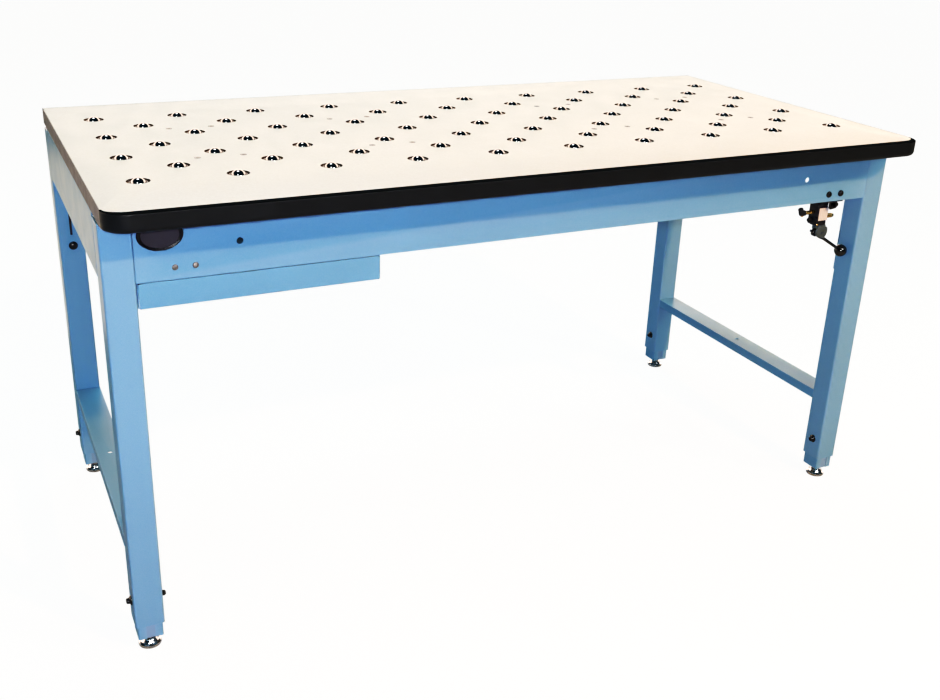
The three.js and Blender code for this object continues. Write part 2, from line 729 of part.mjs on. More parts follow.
function makeValve() {
  const left = valveScrewX - bracketWidth / 2;
  const right = valveScrewX + bracketWidth / 2;
  const back = webBackY + bracketPlay + bracketWall;
  const front = webBackY + bracketPlay;
  const upright = block(left, right, front, back, bodyTop, apronBottom + bracketHeight - bracketWall);
  const shelfEnd = right - shelfInset;
  const shelf = block(left, shelfEnd, front, front + bracketReach, bodyTop, apronBottom);
  const noseStart = shelfEnd - noseWidth;
  const noseLow = bodyTop - noseDrop;
  const nose = prism([
    [noseStart, bodyTop + bracketWall / 2], [noseStart, noseLow], [shelfEnd - noseTipWidth, noseLow + noseTipRise / 2],
    [shelfEnd, noseLow + 2 * noseTipRise], [shelfEnd, noseLow + 3 * noseTipRise],
    [shelfEnd - noseTipWidth, bodyTop + bracketWall / 2],
  ], 'y', front, back);
  const noseHole = prism(
    ring(noseHoleRadius, roundSides, noseStart + noseHoleInset, noseLow + noseHoleInset),
    'y', front - cutOverrun, back + cutOverrun,
  );
  const bolts = [-1, 1].map((side) => valveScrewX + side * screwPitch / 2);
  const boltZ = apronBottom + valveScrewRise;
  const boltHoles = bolts.map((x) => (
    prism(ring(screwHoleRadius, roundSides, x, boltZ), 'y', front - cutOverrun, back + cutOverrun)
  ));
  place('valve_bracket', shaped([upright, shelf, nose], [...boltHoles, noseHole]), 'black');
  bolts.forEach((x, index) => {
    const head = prism(ring(valveBoltHeadRadius, roundSides), 'y', -valveBoltHeadHeight, 0);
    const shank = prism(ring(valveBoltRadius, roundSides), 'y', -valveBoltHeadHeight / 2, valveBoltLength);
    place(`valve_bolt_${index + 1}`, shaped([head, shank]), 'black', x, legFrontFace, boltZ);
  });

  const half = valveBodyWidth / 2;
  const body = block(-half, half, -half, half, bodyBottom, bodyTop);
  place('valve_body', body, 'black', valveX, valveY, 0);

  const stemStart = -half - stemLength;
  place('valve_inlet_stem', prism(ring(stemRadius, roundSides), 'x', stemStart, -half), 'brass', valveX, valveY, inletZ);
  const arm = prism(ring(elbowRadius, roundSides), 'x', stemStart - elbowLength, stemStart);
  const riserX = stemStart - elbowLength + elbowRadius;
  const riser = prism(ring(elbowRadius, roundSides, riserX, 0), 'z', -elbowDrop, elbowRise);
  place('valve_inlet_elbow', shaped([arm, riser]), 'black', valveX, valveY, inletZ);
  const outlet = turned([
    [0, 0], [outletHexRadius, 0], [outletHexRadius, outletHexLength], [outletRadius, outletHexLength],
    [outletRadius, outletLength], [0, outletLength],
  ], roundSides / 2);
  outlet.rotateY(Math.PI / 2);
  place('valve_outlet', shaped([outlet]), 'brass', valveX + half, valveY, outletZ);

  const side = half - bonnetSetback;
  const far = half + bonnetOverhang;
  const slotHalf = leverHubWidth / 2 + leverHubPlay;
  const bonnetLow = bodyBottom - bonnetHeight;
  const bonnet = prism([
    [-side, bodyBottom], [-side, bodyBottom - bonnetNearHeight], [far - bonnetTipWidth, bonnetLow],
    [far, bonnetLow + bonnetTipHeight], [far, bodyBottom],
  ], 'y', -side, side);
  const slot = block(
    -side - cutOverrun, far + cutOverrun, -slotHalf, slotHalf,
    bonnetLow - cutOverrun, bodyBottom - bonnetRoof,
  );
  const pin = prism(ring(pivotPinRadius, roundSides, 0, pivotZ), 'y', -side + cutOverrun, side - cutOverrun);
  const slotted = solid(bonnet).subtract(solid(slot)).add(solid(pin));
  place('valve_bonnet', geometryOf(slotted), 'graphite', valveX, valveY, 0);
}

// The lever hangs from its pivot and leans towards the end of the bench
function makeLever() {
  const pivot = new THREE.Group();
  pivot.position.set(valveX, valveY, pivotZ);
  pivot.rotation.y = -leverLean;
  bench.add(pivot);
  const hub = prism(ring(leverHubRadius, roundSides), 'y', -leverHubWidth / 2, leverHubWidth / 2);
  const rodEnd = -leverLength + knobRadius - knobBore + seamGap;
  const rod = prism(ring(leverRodRadius, cupSides), 'z', rodEnd, -leverHubRadius / 2);
  const eye = prism(
    ring(pivotPinRadius + seamGap, roundSides), 'y', -leverHubWidth / 2 - cutOverrun, leverHubWidth / 2 + cutOverrun,
  );
  pivot.add(place('valve_lever', shaped([hub, rod], [eye]), 'graphite'));
  const ball = new THREE.SphereGeometry(knobRadius, roundSides, knobRings);
  ball.rotateX(Math.PI / 2);
  const bore = prism(
    ring(leverRodRadius + seamGap, cupSides), 'z', knobRadius - knobBore, knobRadius + cutOverrun,
  );
  pivot.add(place('valve_knob', shaped([ball], [bore]), 'black', 0, 0, -leverLength));
}

makeWorktop();
makeBumper();
makeEdgeBand();
for (let row = 0; row < rowCount; row += 1) {
  makeBallRow(row);
}
[-outerStation, -innerStation, innerStation, outerStation].forEach((station, index) => {
  makeLiftBar(index + 1, station * ballPitch);
  makeLiftCradle(index + 1, station * ballPitch);
});
makeLeg('fl', -legX, frontLegY);
makeLeg('fr', legX, frontLegY);
makeLeg('rl', -legX, rearLegY);
makeLeg('rr', legX, rearLegY);
makeGusset('fl', -1, 'rear');
makeGusset('fr', 1, 'rear');
makeGusset('rl', -1, 'front');
makeGusset('rr', 1, 'front');
makeFrontApron();
makeRearApron();
makeSideApron('left', -1);
makeSideApron('right', 1);
makeLowerBrace('left', -1);
makeLowerBrace('right', 1);
makeBadge();
makeDrawerCase();
makeDrawer();
makeValve();
makeLever();

export default bench;
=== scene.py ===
import math

import bmesh
import bpy
from mathutils import Matrix, Vector


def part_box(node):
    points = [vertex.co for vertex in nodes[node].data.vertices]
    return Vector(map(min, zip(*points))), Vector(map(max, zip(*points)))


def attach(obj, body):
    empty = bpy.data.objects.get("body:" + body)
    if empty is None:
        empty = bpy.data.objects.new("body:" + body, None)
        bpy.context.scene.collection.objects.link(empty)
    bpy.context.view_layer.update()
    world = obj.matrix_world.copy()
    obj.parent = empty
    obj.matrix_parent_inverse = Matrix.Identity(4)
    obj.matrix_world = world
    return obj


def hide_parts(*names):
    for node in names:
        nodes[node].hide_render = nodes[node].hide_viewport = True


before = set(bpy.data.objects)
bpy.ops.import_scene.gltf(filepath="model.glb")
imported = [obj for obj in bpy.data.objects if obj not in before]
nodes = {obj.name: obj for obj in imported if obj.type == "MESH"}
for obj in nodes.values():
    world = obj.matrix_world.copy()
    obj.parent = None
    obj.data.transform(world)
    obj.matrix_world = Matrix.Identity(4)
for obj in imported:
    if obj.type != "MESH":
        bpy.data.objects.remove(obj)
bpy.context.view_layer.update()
scene = bpy.context.scene

# All shapes below are drawn in millimetres and scaled once when a piece is made.
MM = 0.001

# Where each corner of the bench lies: left or right, then front or rear.
CORNERS = {"fl": (-1, -1), "fr": (1, -1), "rl": (-1, 1), "rr": (1, 1)}


def box_mm(name):
    """Lowest and highest corner of a node in millimetres."""
    low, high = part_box(name)
    return low / MM, high / MM


# Materials

FLOOR_LOW = (0.50, 0.48, 0.45)
FLOOR_HIGH = (0.53, 0.51, 0.48)
FLOOR_WHITE = (1.0, 1.0, 0.995, 1.0)
FLOOR_GLOW = 1.1
FLOOR_GLOW_SHARE = 0.86


def add_node(tree, kind, inputs=None, **settings):
    """Adds a node to a material. Each input takes a value or the socket that feeds it."""
    made = tree.nodes.new(kind)
    for key, value in settings.items():
        setattr(made, key, value)
    for key, value in (inputs or {}).items():
        socket = made.inputs[key]
        if isinstance(value, bpy.types.NodeSocket):
            tree.links.new(value, socket)
        else:
            socket.default_value = value
    return made


def noise(tree, scale, detail, roughness=0.5, stretch=(1, 1, 1)):
    """Noise in the object's own space, with the given number of cells to a metre."""
    where = add_node(tree, "ShaderNodeTexCoord").outputs["Object"]
    place = add_node(tree, "ShaderNodeMapping", {"Vector": where, "Scale": stretch})
    return add_node(tree, "ShaderNodeTexNoise", {
        "Vector": place.outputs["Vector"], "Scale": scale, "Detail": detail, "Roughness": roughness,
    }).outputs["Fac"]


def spread(tree, value, low=0.0, high=1.0, start=0.3, end=0.7):
    """Maps a value between start and end to the range from low to high."""
    return add_node(tree, "ShaderNodeMapRange", {
        "Value": value, "From Min": start, "From Max": end, "To Min": low, "To Max": high,
    }).outputs["Result"]


def mixed(tree, factor, first, second):
    """Goes from the first colour to the second as the factor goes from 0 to 1."""
    made = add_node(tree, "ShaderNodeMix", data_type="RGBA")
    for index, value in ((0, factor), (6, first), (7, second)):
        if isinstance(value, bpy.types.NodeSocket):
            tree.links.new(value, made.inputs[index])
        elif index == 0:
            made.inputs[index].default_value = value
        else:
            made.inputs[index].default_value = (*value, 1.0)
    return made.outputs[2]


def bump(tree, height, depth, strength, under=None):
    """A relief of the given depth in metres, on top of another one where that is given."""
    inputs = {"Height": height, "Distance": depth, "Strength": strength}
    if under is not None:
        inputs["Normal"] = under
    return add_node(tree, "ShaderNodeBump", inputs).outputs["Normal"]


def edges(tree, start=0.52, end=0.6):
    """Grows from 0 to 1 on the outer edges."""
    point = add_node(tree, "ShaderNodeNewGeometry").outputs["Pointiness"]
    return spread(tree, point, start=start, end=end)


def shade(color, factor):
    """A lighter or darker version of a colour."""
    return tuple(channel * factor for channel in color)


def new_material(name, metallic=0.0, specular=0.5):
    material = bpy.data.materials.new(name)
    material.use_nodes = True
    shader = material.node_tree.nodes["Principled BSDF"]
    shader.inputs["Metallic"].default_value = metallic
    shader.inputs["Specular IOR Level"].default_value = specular
    return material, material.node_tree, shader


def connect(tree, shader, color, roughness, normal=None):
    tree.links.new(color, shader.inputs["Base Color"])
    tree.links.new(roughness, shader.inputs["Roughness"])
    if normal is not None:
        tree.links.new(normal, shader.inputs["Normal"])


def make_laminate():
    """Pale laminate with broad clouds, a fine mottle and scattered darker specks."""
    material, tree, shader = new_material("laminate_top", specular=0.4)
    base, mottle_tint, speck_tint = (0.82, 0.762, 0.695), (0.785, 0.722, 0.65), (0.70, 0.61, 0.52)
    broad = spread(tree, noise(tree, 5, 3))
    mottle = spread(tree, noise(tree, 260, 4, 0.6), start=0.35, end=0.65)
    specks = spread(tree, noise(tree, 900, 2, 0.7), start=0.62, end=0.72)
    color = mixed(tree, broad, shade(base, 0.985), shade(base, 1.015))
    color = mixed(tree, mottle, color, mottle_tint)
    color = mixed(tree, 0.55, color, mixed(tree, specks, color, speck_tint))
    rough = spread(tree, noise(tree, 30, 4), 0.36, 0.46)
    connect(tree, shader, color, rough, bump(tree, noise(tree, 1100, 3), 0.00004, 0.35))
    return material


def make_core():
    """The pressed chips that show in the walls of the ball holes."""
    material, tree, shader = new_material("board_core", specular=0.2)
    chips = spread(tree, noise(tree, 420, 5, 0.7, (1, 1, 2.4)))
    color = mixed(tree, chips, (0.030, 0.020, 0.016), (0.10, 0.066, 0.050))
    rough = spread(tree, chips, 0.75, 0.95, start=0, end=1)
    connect(tree, shader, color, rough, bump(tree, noise(tree, 600, 4), 0.0004, 0.6))
    return material


def make_plastic(name, color, rough, grain, depth, specular=0.5):
    """Moulded plastic or rubber with a fine grain and rubbed edges."""
    material, tree, shader = new_material(name, specular=specular)
    cloud = spread(tree, noise(tree, 14, 4))
    tint = mixed(tree, cloud, shade(color, 0.85), shade(color, 1.2))
    lighter_edges = mixed(tree, 0.4, tint, mixed(tree, edges(tree), tint, shade(color, 2.6)))
    surface = spread(tree, noise(tree, 55, 5), rough * 0.8, rough * 1.25)
    connect(tree, shader, lighter_edges, surface, bump(tree, noise(tree, grain, 2), depth, 0.5))
    return material


def make_paint(name, color):
    """Baked powder coat: orange peel, faint clouds, and outer edges painted lighter, partly for the thinner
    film there and partly as a painted highlight.
    """
    material, tree, shader = new_material(name)
    fleck_tint, edge_film_and_highlight_tint = (0.75, 0.85, 0.95), (0.80, 0.88, 0.95)
    cloud = spread(tree, noise(tree, 4.5, 4))
    fleck = spread(tree, noise(tree, 1500, 2), start=0.4, end=0.6)
    base = mixed(tree, cloud, shade(color, 0.965), shade(color, 1.035))
    base = mixed(tree, fleck, base, mixed(tree, 0.08, base, fleck_tint))
    # Painted highlight: the outer edges are lightened towards a pale tint, which also stands for the thinner
    # film there.
    lighter_edges = mixed(tree, edges(tree, 0.53, 0.63), base, mixed(tree, 0.22, base, edge_film_and_highlight_tint))
    rough = spread(tree, noise(tree, 24, 4), 0.28, 0.38)
    peel = bump(tree, noise(tree, 420, 2), 0.00012, 0.30)
    connect(tree, shader, lighter_edges, rough, bump(tree, noise(tree, 2600, 2), 0.00003, 0.25, peel))
    return material


def make_metal(name, color, rough, brushed, scale, depth=0.00003, dull=0.55):
    """Bare or plated metal with clouds of tarnish and fine tool marks."""
    material, tree, shader = new_material(name, metallic=1.0)
    cloud = spread(tree, noise(tree, 35, 5, 0.6), start=0.35, end=0.75)
    base = mixed(tree, cloud, color, shade(color, dull))
    marks = noise(tree, scale, 4, 0.6, brushed)
    surface = spread(tree, marks, rough * 0.7, rough * 1.35)
    connect(tree, shader, base, surface, bump(tree, marks, depth, 0.4))
    return material


def make_label():
    """A bare plate of brushed foil."""
    material, tree, shader = new_material("label_plate", specular=0.4)
    grain = spread(tree, noise(tree, 500, 3, 0.5, (1, 1, 0.1)))
    color = mixed(tree, grain, (0.74, 0.66, 0.57), (0.84, 0.77, 0.68))
    rough = spread(tree, grain, 0.3, 0.45, start=0, end=1)
    connect(tree, shader, color, rough, bump(tree, grain, 0.00003, 0.3))
    return material


def make_floor():
    """A pale floor that shows nearly white and throws less light back than it shows."""
    material, tree, shader = new_material("studio_floor", specular=0.1)
    grain = spread(tree, noise(tree, 3, 3))
    color = mixed(tree, grain, FLOOR_LOW, FLOOR_HIGH)
    connect(tree, shader, color, spread(tree, grain, 0.8, 0.9, start=0, end=1))
    shown = add_node(tree, "ShaderNodeLightPath").outputs["Is Camera Ray"]
    glow = add_node(tree, "ShaderNodeEmission", {"Color": FLOOR_WHITE, "Strength": FLOOR_GLOW})
    share = add_node(tree, "ShaderNodeMath", {0: shown, 1: FLOOR_GLOW_SHARE}, operation="MULTIPLY")
    both = add_node(tree, "ShaderNodeMixShader", {
        0: share.outputs[0], 1: shader.outputs[0], 2: glow.outputs[0],
    })
    tree.links.new(both.outputs[0], tree.nodes["Material Output"].inputs["Surface"])
    return material


laminate = make_laminate()
core = make_core()
blue = make_paint("blue_powder_coat", (0.170, 0.398, 0.580))
label = make_label()

# Plastics: colour, roughness, cells of the grain to a metre, its depth in metres, specular level
backing = make_plastic("backing_sheet", (0.20, 0.15, 0.10), 0.6, 500, 0.0001, 0.3)
bumper_black = make_plastic("bumper_black", (0.010, 0.012, 0.014), 0.40, 1500, 0.00004, 0.40)
bumper_matt = make_plastic("bumper_matt", (0.010, 0.012, 0.013), 0.6, 1500, 0.00004, 0.0)
edge_brown = make_plastic("edge_brown", (0.235, 0.200, 0.190), 0.55, 800, 0.00005, 0.25)
slot_strip = make_plastic("slot_strip_grey", (0.18, 0.27, 0.36), 0.5, 300, 0.00002)
bolt_black = make_plastic("bolt_black", (0.009, 0.009, 0.011), 0.12, 900, 0.00001, 0.6)
# Black for moulded parts, also used for the strips, rings and squares that paint shade.
black_moulding_and_shade = make_plastic("moulded_and_shade_black", (0.016, 0.016, 0.018), 0.42, 1200, 0.00005)
knob_black = make_plastic("knob_black", (0.008, 0.008, 0.009), 0.07, 500, 0.000003, 1.0)
anodised = make_plastic("anodised_black", (0.014, 0.013, 0.018), 0.30, 1800, 0.00003)
cast_grey = make_plastic("cast_grey", (0.062, 0.080, 0.084), 0.45, 1400, 0.00012)
badge_black = make_plastic("badge_black", (0.012, 0.010, 0.014), 0.26, 700, 0.00004)
badge_field = make_plastic("badge_field", (0.050, 0.040, 0.050), 0.5, 340, 0.00018)

# Metals: colour, roughness, stretch of the tool marks, marks to a metre, their depth in metres, tarnish
zinc = make_metal("zinc_plate", (0.62, 0.63, 0.64), 0.34, (1, 6, 6), 120)
screw_steel = make_metal("dull_screw", (0.36, 0.33, 0.32), 0.46, (1, 1, 1), 260)
cup_steel = make_metal("cup_steel", (0.12, 0.11, 0.11), 0.30, (1, 1, 1), 300)
ball_steel = make_metal("polished_ball", (0.40, 0.395, 0.395), 0.06, (1, 1, 1), 60, 0.000004, 0.92)
foot_metal = make_metal("foot_plate_chrome", (0.62, 0.63, 0.65), 0.13, (1, 1, 8), 160, 0.00001, 0.8)
brass = make_metal("brass", (0.80, 0.56, 0.24), 0.24, (8, 1, 1), 160, 0.00002, 0.7)

# Making pieces

AXES = {
    "z": Matrix.Identity(3),
    "x": Matrix(((0, 0, 1), (1, 0, 0), (0, 1, 0))),
    "-x": Matrix(((0, 0, -1), (1, 0, 0), (0, -1, 0))),
    "y": Matrix(((1, 0, 0), (0, 0, 1), (0, 1, 0))),
    "-y": Matrix(((1, 0, 0), (0, 0, -1), (0, 1, 0))),
}
RIM_SEGMENTS = 2
BEND_SEGMENTS = 4

# What counts as a fold of a sheet: its angle, then its length and the breadth beside it in bend radii
FOLD_ANGLE = math.radians(60)
FOLD_LENGTH = 8
FOLD_BREADTH = 3


def quarter(steps):
    """The angles of a quarter turn in equal steps."""
    return [math.pi / 2 * k / steps for k in range(steps + 1)]


def circle(radius, height, sides):
    """A ring of points that begins half a side round, or a single point for no radius."""
    if radius <= 0:
        return [(0.0, 0.0, height)]
    angles = [2 * math.pi * (i + 0.5) / sides for i in range(sides)]
    return [(radius * math.cos(angle), radius * math.sin(angle), height) for angle in angles]


def rounded(width, depth, radius, segments, cx=0.0, cy=0.0):
    """Outline of a rectangle with round corners, counter-clockwise. The radius may differ by corner."""
    radii = radius if isinstance(radius, (list, tuple)) else [radius] * 4
    points = []
    for k, (sx, sy) in enumerate(((1, -1), (1, 1), (-1, 1), (-1, -1))):
        r = max(radii[k], 1e-3)
        x, y = cx + sx * (width / 2 - r), cy + sy * (depth / 2 - r)
        for i in range(segments + 1):
            angle = math.radians(-90 + 90 * k + 90 * i / segments)
            points.append((x + r * math.cos(angle), y + r * math.sin(angle)))
    return points


def loft(bm, rings, material=0):
    """Skins a row of rings of points. A ring of one point is a tip."""
    rows = [[bm.verts.new(point) for point in ring] for ring in rings]
    for first, second in zip(rows, rows[1:]):
        count = max(len(first), len(second))
        for i in range(count):
            j = (i + 1) % count
            corners = [
                first[i % len(first)], first[j % len(first)],
                second[j % len(second)], second[i % len(second)],
            ]
            bm.faces.new(list(dict.fromkeys(corners))).material_index = material
    return rows


def solid(bm, rings, material=0):
    """Skins a row of rings and closes each end that isn't a tip."""
    rows = loft(bm, rings, material)
    for row in (rows[0], rows[-1]):
        if len(row) > 2:
            bm.faces.new(row).material_index = material
    return rows


def lathe(bm, profile, sides, at, axis="z", material=0):
    """Turns [radius, height] points about an axis through a place. Open ends are closed flat."""
    matrix = AXES[axis] if isinstance(axis, str) else axis
    base = Vector(at)
    solid(bm, [
        [base + matrix @ Vector(point) for point in circle(radius, height, sides)]
        for radius, height in profile
    ], material)


def thread(bm, radius, start, end, pitch, depth, sides, at):
    """An upright round bar with a helical thread cut into it."""
    base = Vector(at)
    count = max(2, round((end - start) / pitch * 4))
    rings = []
    for k in range(count + 1):
        height = start + (end - start) * k / count
        ring = []
        for i in range(sides):
            turn = (height / pitch - i / sides) % 1.0
            size = radius - depth * abs(2 * turn - 1)
            angle = 2 * math.pi * i / sides
            ring.append(base + Vector((size * math.cos(angle), size * math.sin(angle), height)))
        rings.append(ring)
    solid(bm, rings)


def slab(bm, outline, start, end, at, axis="z", edge=0.0, steps=3, material=0):
    """A plate from an outline that is centred on its own origin, with rounded rims of the given size."""
    matrix = AXES[axis]
    base = Vector(at)
    half_w = max(abs(u) for u, v in outline)
    half_d = max(abs(v) for u, v in outline)
    levels = [(0.0, start), (0.0, end)]
    if edge:
        turns = quarter(steps)
        levels = [(edge * (1 - math.sin(t)), start + edge * (1 - math.cos(t))) for t in turns]
        levels += [(edge * (1 - math.cos(t)), end - edge * (1 - math.sin(t))) for t in turns]
    rings = []
    for inset, height in levels:
        su, sv = 1 - inset / half_w, 1 - inset / half_d
        rings.append([base + matrix @ Vector((u * su, v * sv, height)) for u, v in outline])
    solid(bm, rings, material)


def piece(name, bm, body, materials, replaced=(), sharp=36, bevel=0.0, flat=False):
    """Turns a mesh drawn in millimetres into a piece of the bench that rides on a body."""
    bmesh.ops.recalc_face_normals(bm, faces=bm.faces)
    bmesh.ops.scale(bm, vec=(MM, MM, MM), verts=bm.verts)
    mesh = bpy.data.meshes.new(name)
    bm.to_mesh(mesh)
    bm.free()
    obj = bpy.data.objects.new(name, mesh)
    scene.collection.objects.link(obj)
    for material in materials:
        mesh.materials.append(material)
    mesh.polygons.foreach_set("use_smooth", [True] * len(mesh.polygons))
    if bevel:
        rim = obj.modifiers.new("rim", "BEVEL")
        rim.width = bevel * MM
        rim.segments = RIM_SEGMENTS
        rim.limit_method = "ANGLE"
        rim.angle_limit = math.radians(sharp)
        rim.harden_normals = True
    else:
        mesh.set_sharp_from_angle(angle=math.radians(sharp))
    if flat:
        even = obj.modifiers.new("even", "WEIGHTED_NORMAL")
        even.weight = 80
        even.keep_sharp = True
    if replaced:
        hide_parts(*replaced)
    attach(obj, body)


def is_fold(edge, bend):
    """Whether two broad faces of a sheet meet at an edge, with room for a bend of the given radius."""
    if len(edge.link_faces) != 2 or edge.calc_face_angle(0) < FOLD_ANGLE:
        return False
    length = edge.calc_length()
    narrower = min(face.calc_area() / length for face in edge.link_faces)
    return length > FOLD_LENGTH * bend and narrower > FOLD_BREADTH * bend


def sheet(node, body, material, bend=2.2, rim=0.4):
    """Redraws a sheet part with softened rims and with round bends, or without bends for a flat one."""
    bm = bmesh.new()
    bm.from_mesh(nodes[node].data)
    bmesh.ops.scale(bm, vec=(1 / MM, 1 / MM, 1 / MM), verts=bm.verts)
    bmesh.ops.remove_doubles(bm, verts=bm.verts, dist=0.002)
    bmesh.ops.dissolve_limit(bm, angle_limit=math.radians(1), verts=bm.verts, edges=bm.edges)
    bmesh.ops.recalc_face_normals(bm, faces=bm.faces)
    folds = [edge for edge in bm.edges if bend and is_fold(edge, bend)]
    if folds:
        bmesh.ops.bevel(bm, geom=folds, offset=bend, offset_type="OFFSET", segments=BEND_SEGMENTS,
                        profile=0.5, affect="EDGES", clamp_overlap=True)
    piece(f"{node}_sheet", bm, body, [material], [node], sharp=34, bevel=rim, flat=True)


# Worktop and its edges

BENCH = 1524.0
DEPTH = 762.0
TOP = 786.0
UNDER = 757.4
EDGE_STRIP = 1.2
BOARD_GAP = 0.3

# Ball holes: distance between balls of a row, rows, balls in a long row, middle row, radius
PITCH = 152.4
ROWS = 7
LONG_ROW = 10
GRID_Y = 19.7
HOLE = 18.5
HOLE_SIDES = 32

# Bumper: depth along the front and at its ends, radius of the bench's corners, its own roundings
BUMPER = 16.0
TIP = 3.0
CORNER = 38.0
UPPER_ROUNDING = 1.4
LOWER_ROUNDING = 8.0
BUMPER_END = -DEPTH / 2 + CORNER


def row_y(row):
    return GRID_Y + (row - ROWS // 2) * PITCH / 2


def row_x(row):
    """Places of the balls in a row. Every second row is one ball shorter and staggered by half."""
    count = LONG_ROW - row % 2
    return [(column - (count - 1) / 2) * PITCH for column in range(count)]


def front_line(steps):
    """Side and angle of each station along the bumper, from its left end round both corners to its right."""
    turns = quarter(steps)
    return [(-1, angle) for angle in turns] + [(1, angle) for angle in turns[::-1]]


def corner_point(side, angle, outer):
    """A point of the bumper's outer or inner line at a corner. The angle runs from the side to the front."""
    cx = BENCH / 2 - CORNER
    across_x = CORNER if outer else CORNER - TIP
    across_y = CORNER if outer else CORNER - BUMPER
    return Vector((side * (cx + across_x * math.cos(angle)), BUMPER_END - across_y * math.sin(angle)))


def worktop_outline():
    side, rear, front = BENCH / 2 - EDGE_STRIP, DEPTH / 2 - EDGE_STRIP, BUMPER_END + BOARD_GAP
    points = [Vector((side, rear)), Vector((-side, rear)), Vector((-side, front))]
    for sign, angle in front_line(14):
        point = corner_point(sign, angle, False)
        points.append(Vector((point.x - sign * BOARD_GAP, point.y)))
    points.append(Vector((side, front)))
    return points


def build_worktop():
    bm = bmesh.new()
    top_edges, low_edges = [], []

    def add_wall(points, material):
        """A wall from top to bottom, with a small rounding at the top."""
        count = len(points)
        rings = []
        for offset, height in ((0.5, TOP), (0.15, TOP - 0.15), (0.0, TOP - 0.5), (0.0, UNDER)):
            ring = []
            for i, point in enumerate(points):
                along = (points[(i + 1) % count] - points[i - 1]).normalized()
                ring.append((point.x - along.y * offset, point.y + along.x * offset, height))
            rings.append(ring)
        rows = loft(bm, rings, material)
        for i in range(count):
            j = (i + 1) % count
            top_edges.append(bm.edges.get((rows[0][i], rows[0][j])))
            low_edges.append(bm.edges.get((rows[-1][i], rows[-1][j])))

    add_wall(worktop_outline(), 0)
    angles = [2 * math.pi * i / HOLE_SIDES for i in range(HOLE_SIDES)]
    for row in range(ROWS):
        for x in row_x(row):
            add_wall([
                Vector((x + HOLE * math.cos(angle), row_y(row) + HOLE * math.sin(angle))) for angle in angles
            ], 1)
    bmesh.ops.triangle_fill(bm, use_beauty=True, use_dissolve=False, edges=top_edges)
    underside = bmesh.ops.triangle_fill(bm, use_beauty=True, use_dissolve=False, edges=low_edges)
    for face in underside["geom"]:
        if isinstance(face, bmesh.types.BMFace):
            face.material_index = 2
    piece("worktop_board", bm, "bench_frame", [laminate, core, backing], ["worktop"], sharp=40)


def build_bumper():
    bm = bmesh.new()
    rings = []
    for side, angle in front_line(16):
        outer, inner = corner_point(side, angle, True), corner_point(side, angle, False)
        width = (inner - outer).length
        direction = (inner - outer) / width
        section = []
        for rounding, level, up in ((UPPER_ROUNDING, TOP, -1), (LOWER_ROUNDING, UNDER, 1)):
            reach = min(width * 0.9, rounding)
            rise = rounding * math.sqrt(reach / rounding)
            rim = [(reach * (1 - math.cos(t)), level + up * rise * (1 - math.sin(t))) for t in quarter(6)]
            rim.append((width, level))
            section += rim if up < 0 else rim[::-1]
        rings.append([(outer.x + direction.x * d, outer.y + direction.y * d, z) for d, z in section])
    solid(bm, rings)
    bmesh.ops.recalc_face_normals(bm, faces=bm.faces)
    for face in bm.faces:
        face.material_index = 1 if face.normal.z > 0.5 else 0
    piece("front_bumper_moulding", bm, "bench_frame", [bumper_black, bumper_matt],
          ["front_bumper"], sharp=50, flat=True)


build_worktop()
build_bumper()
sheet("edge_band", "bench_frame", edge_brown, bend=None, rim=0.35)

# Frame and lift

for part in ("front_apron", "rear_apron", "lower_brace_left", "lower_brace_right"):
    sheet(part, "bench_frame", blue)
for part in ("side_apron_left", "side_apron_right"):
    sheet(part, "bench_frame", blue, bend=4.5)
sheet("drawer_case", "bench_frame", blue, bend=1.6)
for corner in CORNERS:
    sheet(f"leg_gusset_{corner}", "bench_frame", blue, bend=None, rim=0.5)
for station in (1, 2, 3, 4):
    sheet(f"lift_bar_{station}", "lift", zinc, bend=1.6)
    sheet(f"lift_cradle_{station}", "bench_frame", zinc, bend=None, rim=0.3)

# Legs and feet

# Outer leg: dark gap between its end and the worktop, its bend, wall and softened rim
LEG_GAP = 5.0
TUBE_BEND = 4.0
TUBE_WALL = 2.5
TUBE_RIM = 0.4

# Inner leg: its bend, its wall, half the width of its slot, and the strip behind the slot
CHANNEL_BEND = 2.4
CHANNEL_WALL = 2.3
SLOT_HALF = 7.0
STRIP_OVERLAP = 1.0
STRIP_DEPTH = 1.0
STRIP_WALL = 0.6

# Gusset: width, place and ends of its slit, and the place of its bolt
SLIT = 4.2
SLIT_INSET = 23.8
SLIT_BOTTOM = 542.8
SLIT_TOP_GAP = 0.3
GUSSET_BOLT_INSET = 25.0
GUSSET_BOLT_Z = 520.6


def build_outer_leg(corner):
    low, high = box_mm(f"outer_leg_{corner}")
    middle = (low + high) / 2
    width = high.x - low.x
    hollow = width - 2 * TUBE_WALL
    outer = rounded(width, width, TUBE_BEND, 6, middle.x, middle.y)
    inner = rounded(hollow, hollow, TUBE_BEND - TUBE_WALL, 6, middle.x, middle.y)

    def ring_at(points, height, inset=0.0):
        return [
            (u - inset * math.copysign(1, u - middle.x), v - inset * math.copysign(1, v - middle.y), height)
            for u, v in points
        ]

    top = high.z - LEG_GAP
    bm = bmesh.new()
    loft(bm, [
        ring_at(inner, top), ring_at(outer, top, TUBE_RIM), ring_at(outer, top - TUBE_RIM),
        ring_at(outer, low.z + TUBE_RIM), ring_at(outer, low.z, TUBE_RIM), ring_at(inner, low.z),
        ring_at(inner, top),
    ])
    bmesh.ops.remove_doubles(bm, verts=bm.verts, dist=0.001)
    piece(f"outer_leg_{corner}_tube", bm, "bench_frame", [blue], [f"outer_leg_{corner}"],
          sharp=34, flat=True)


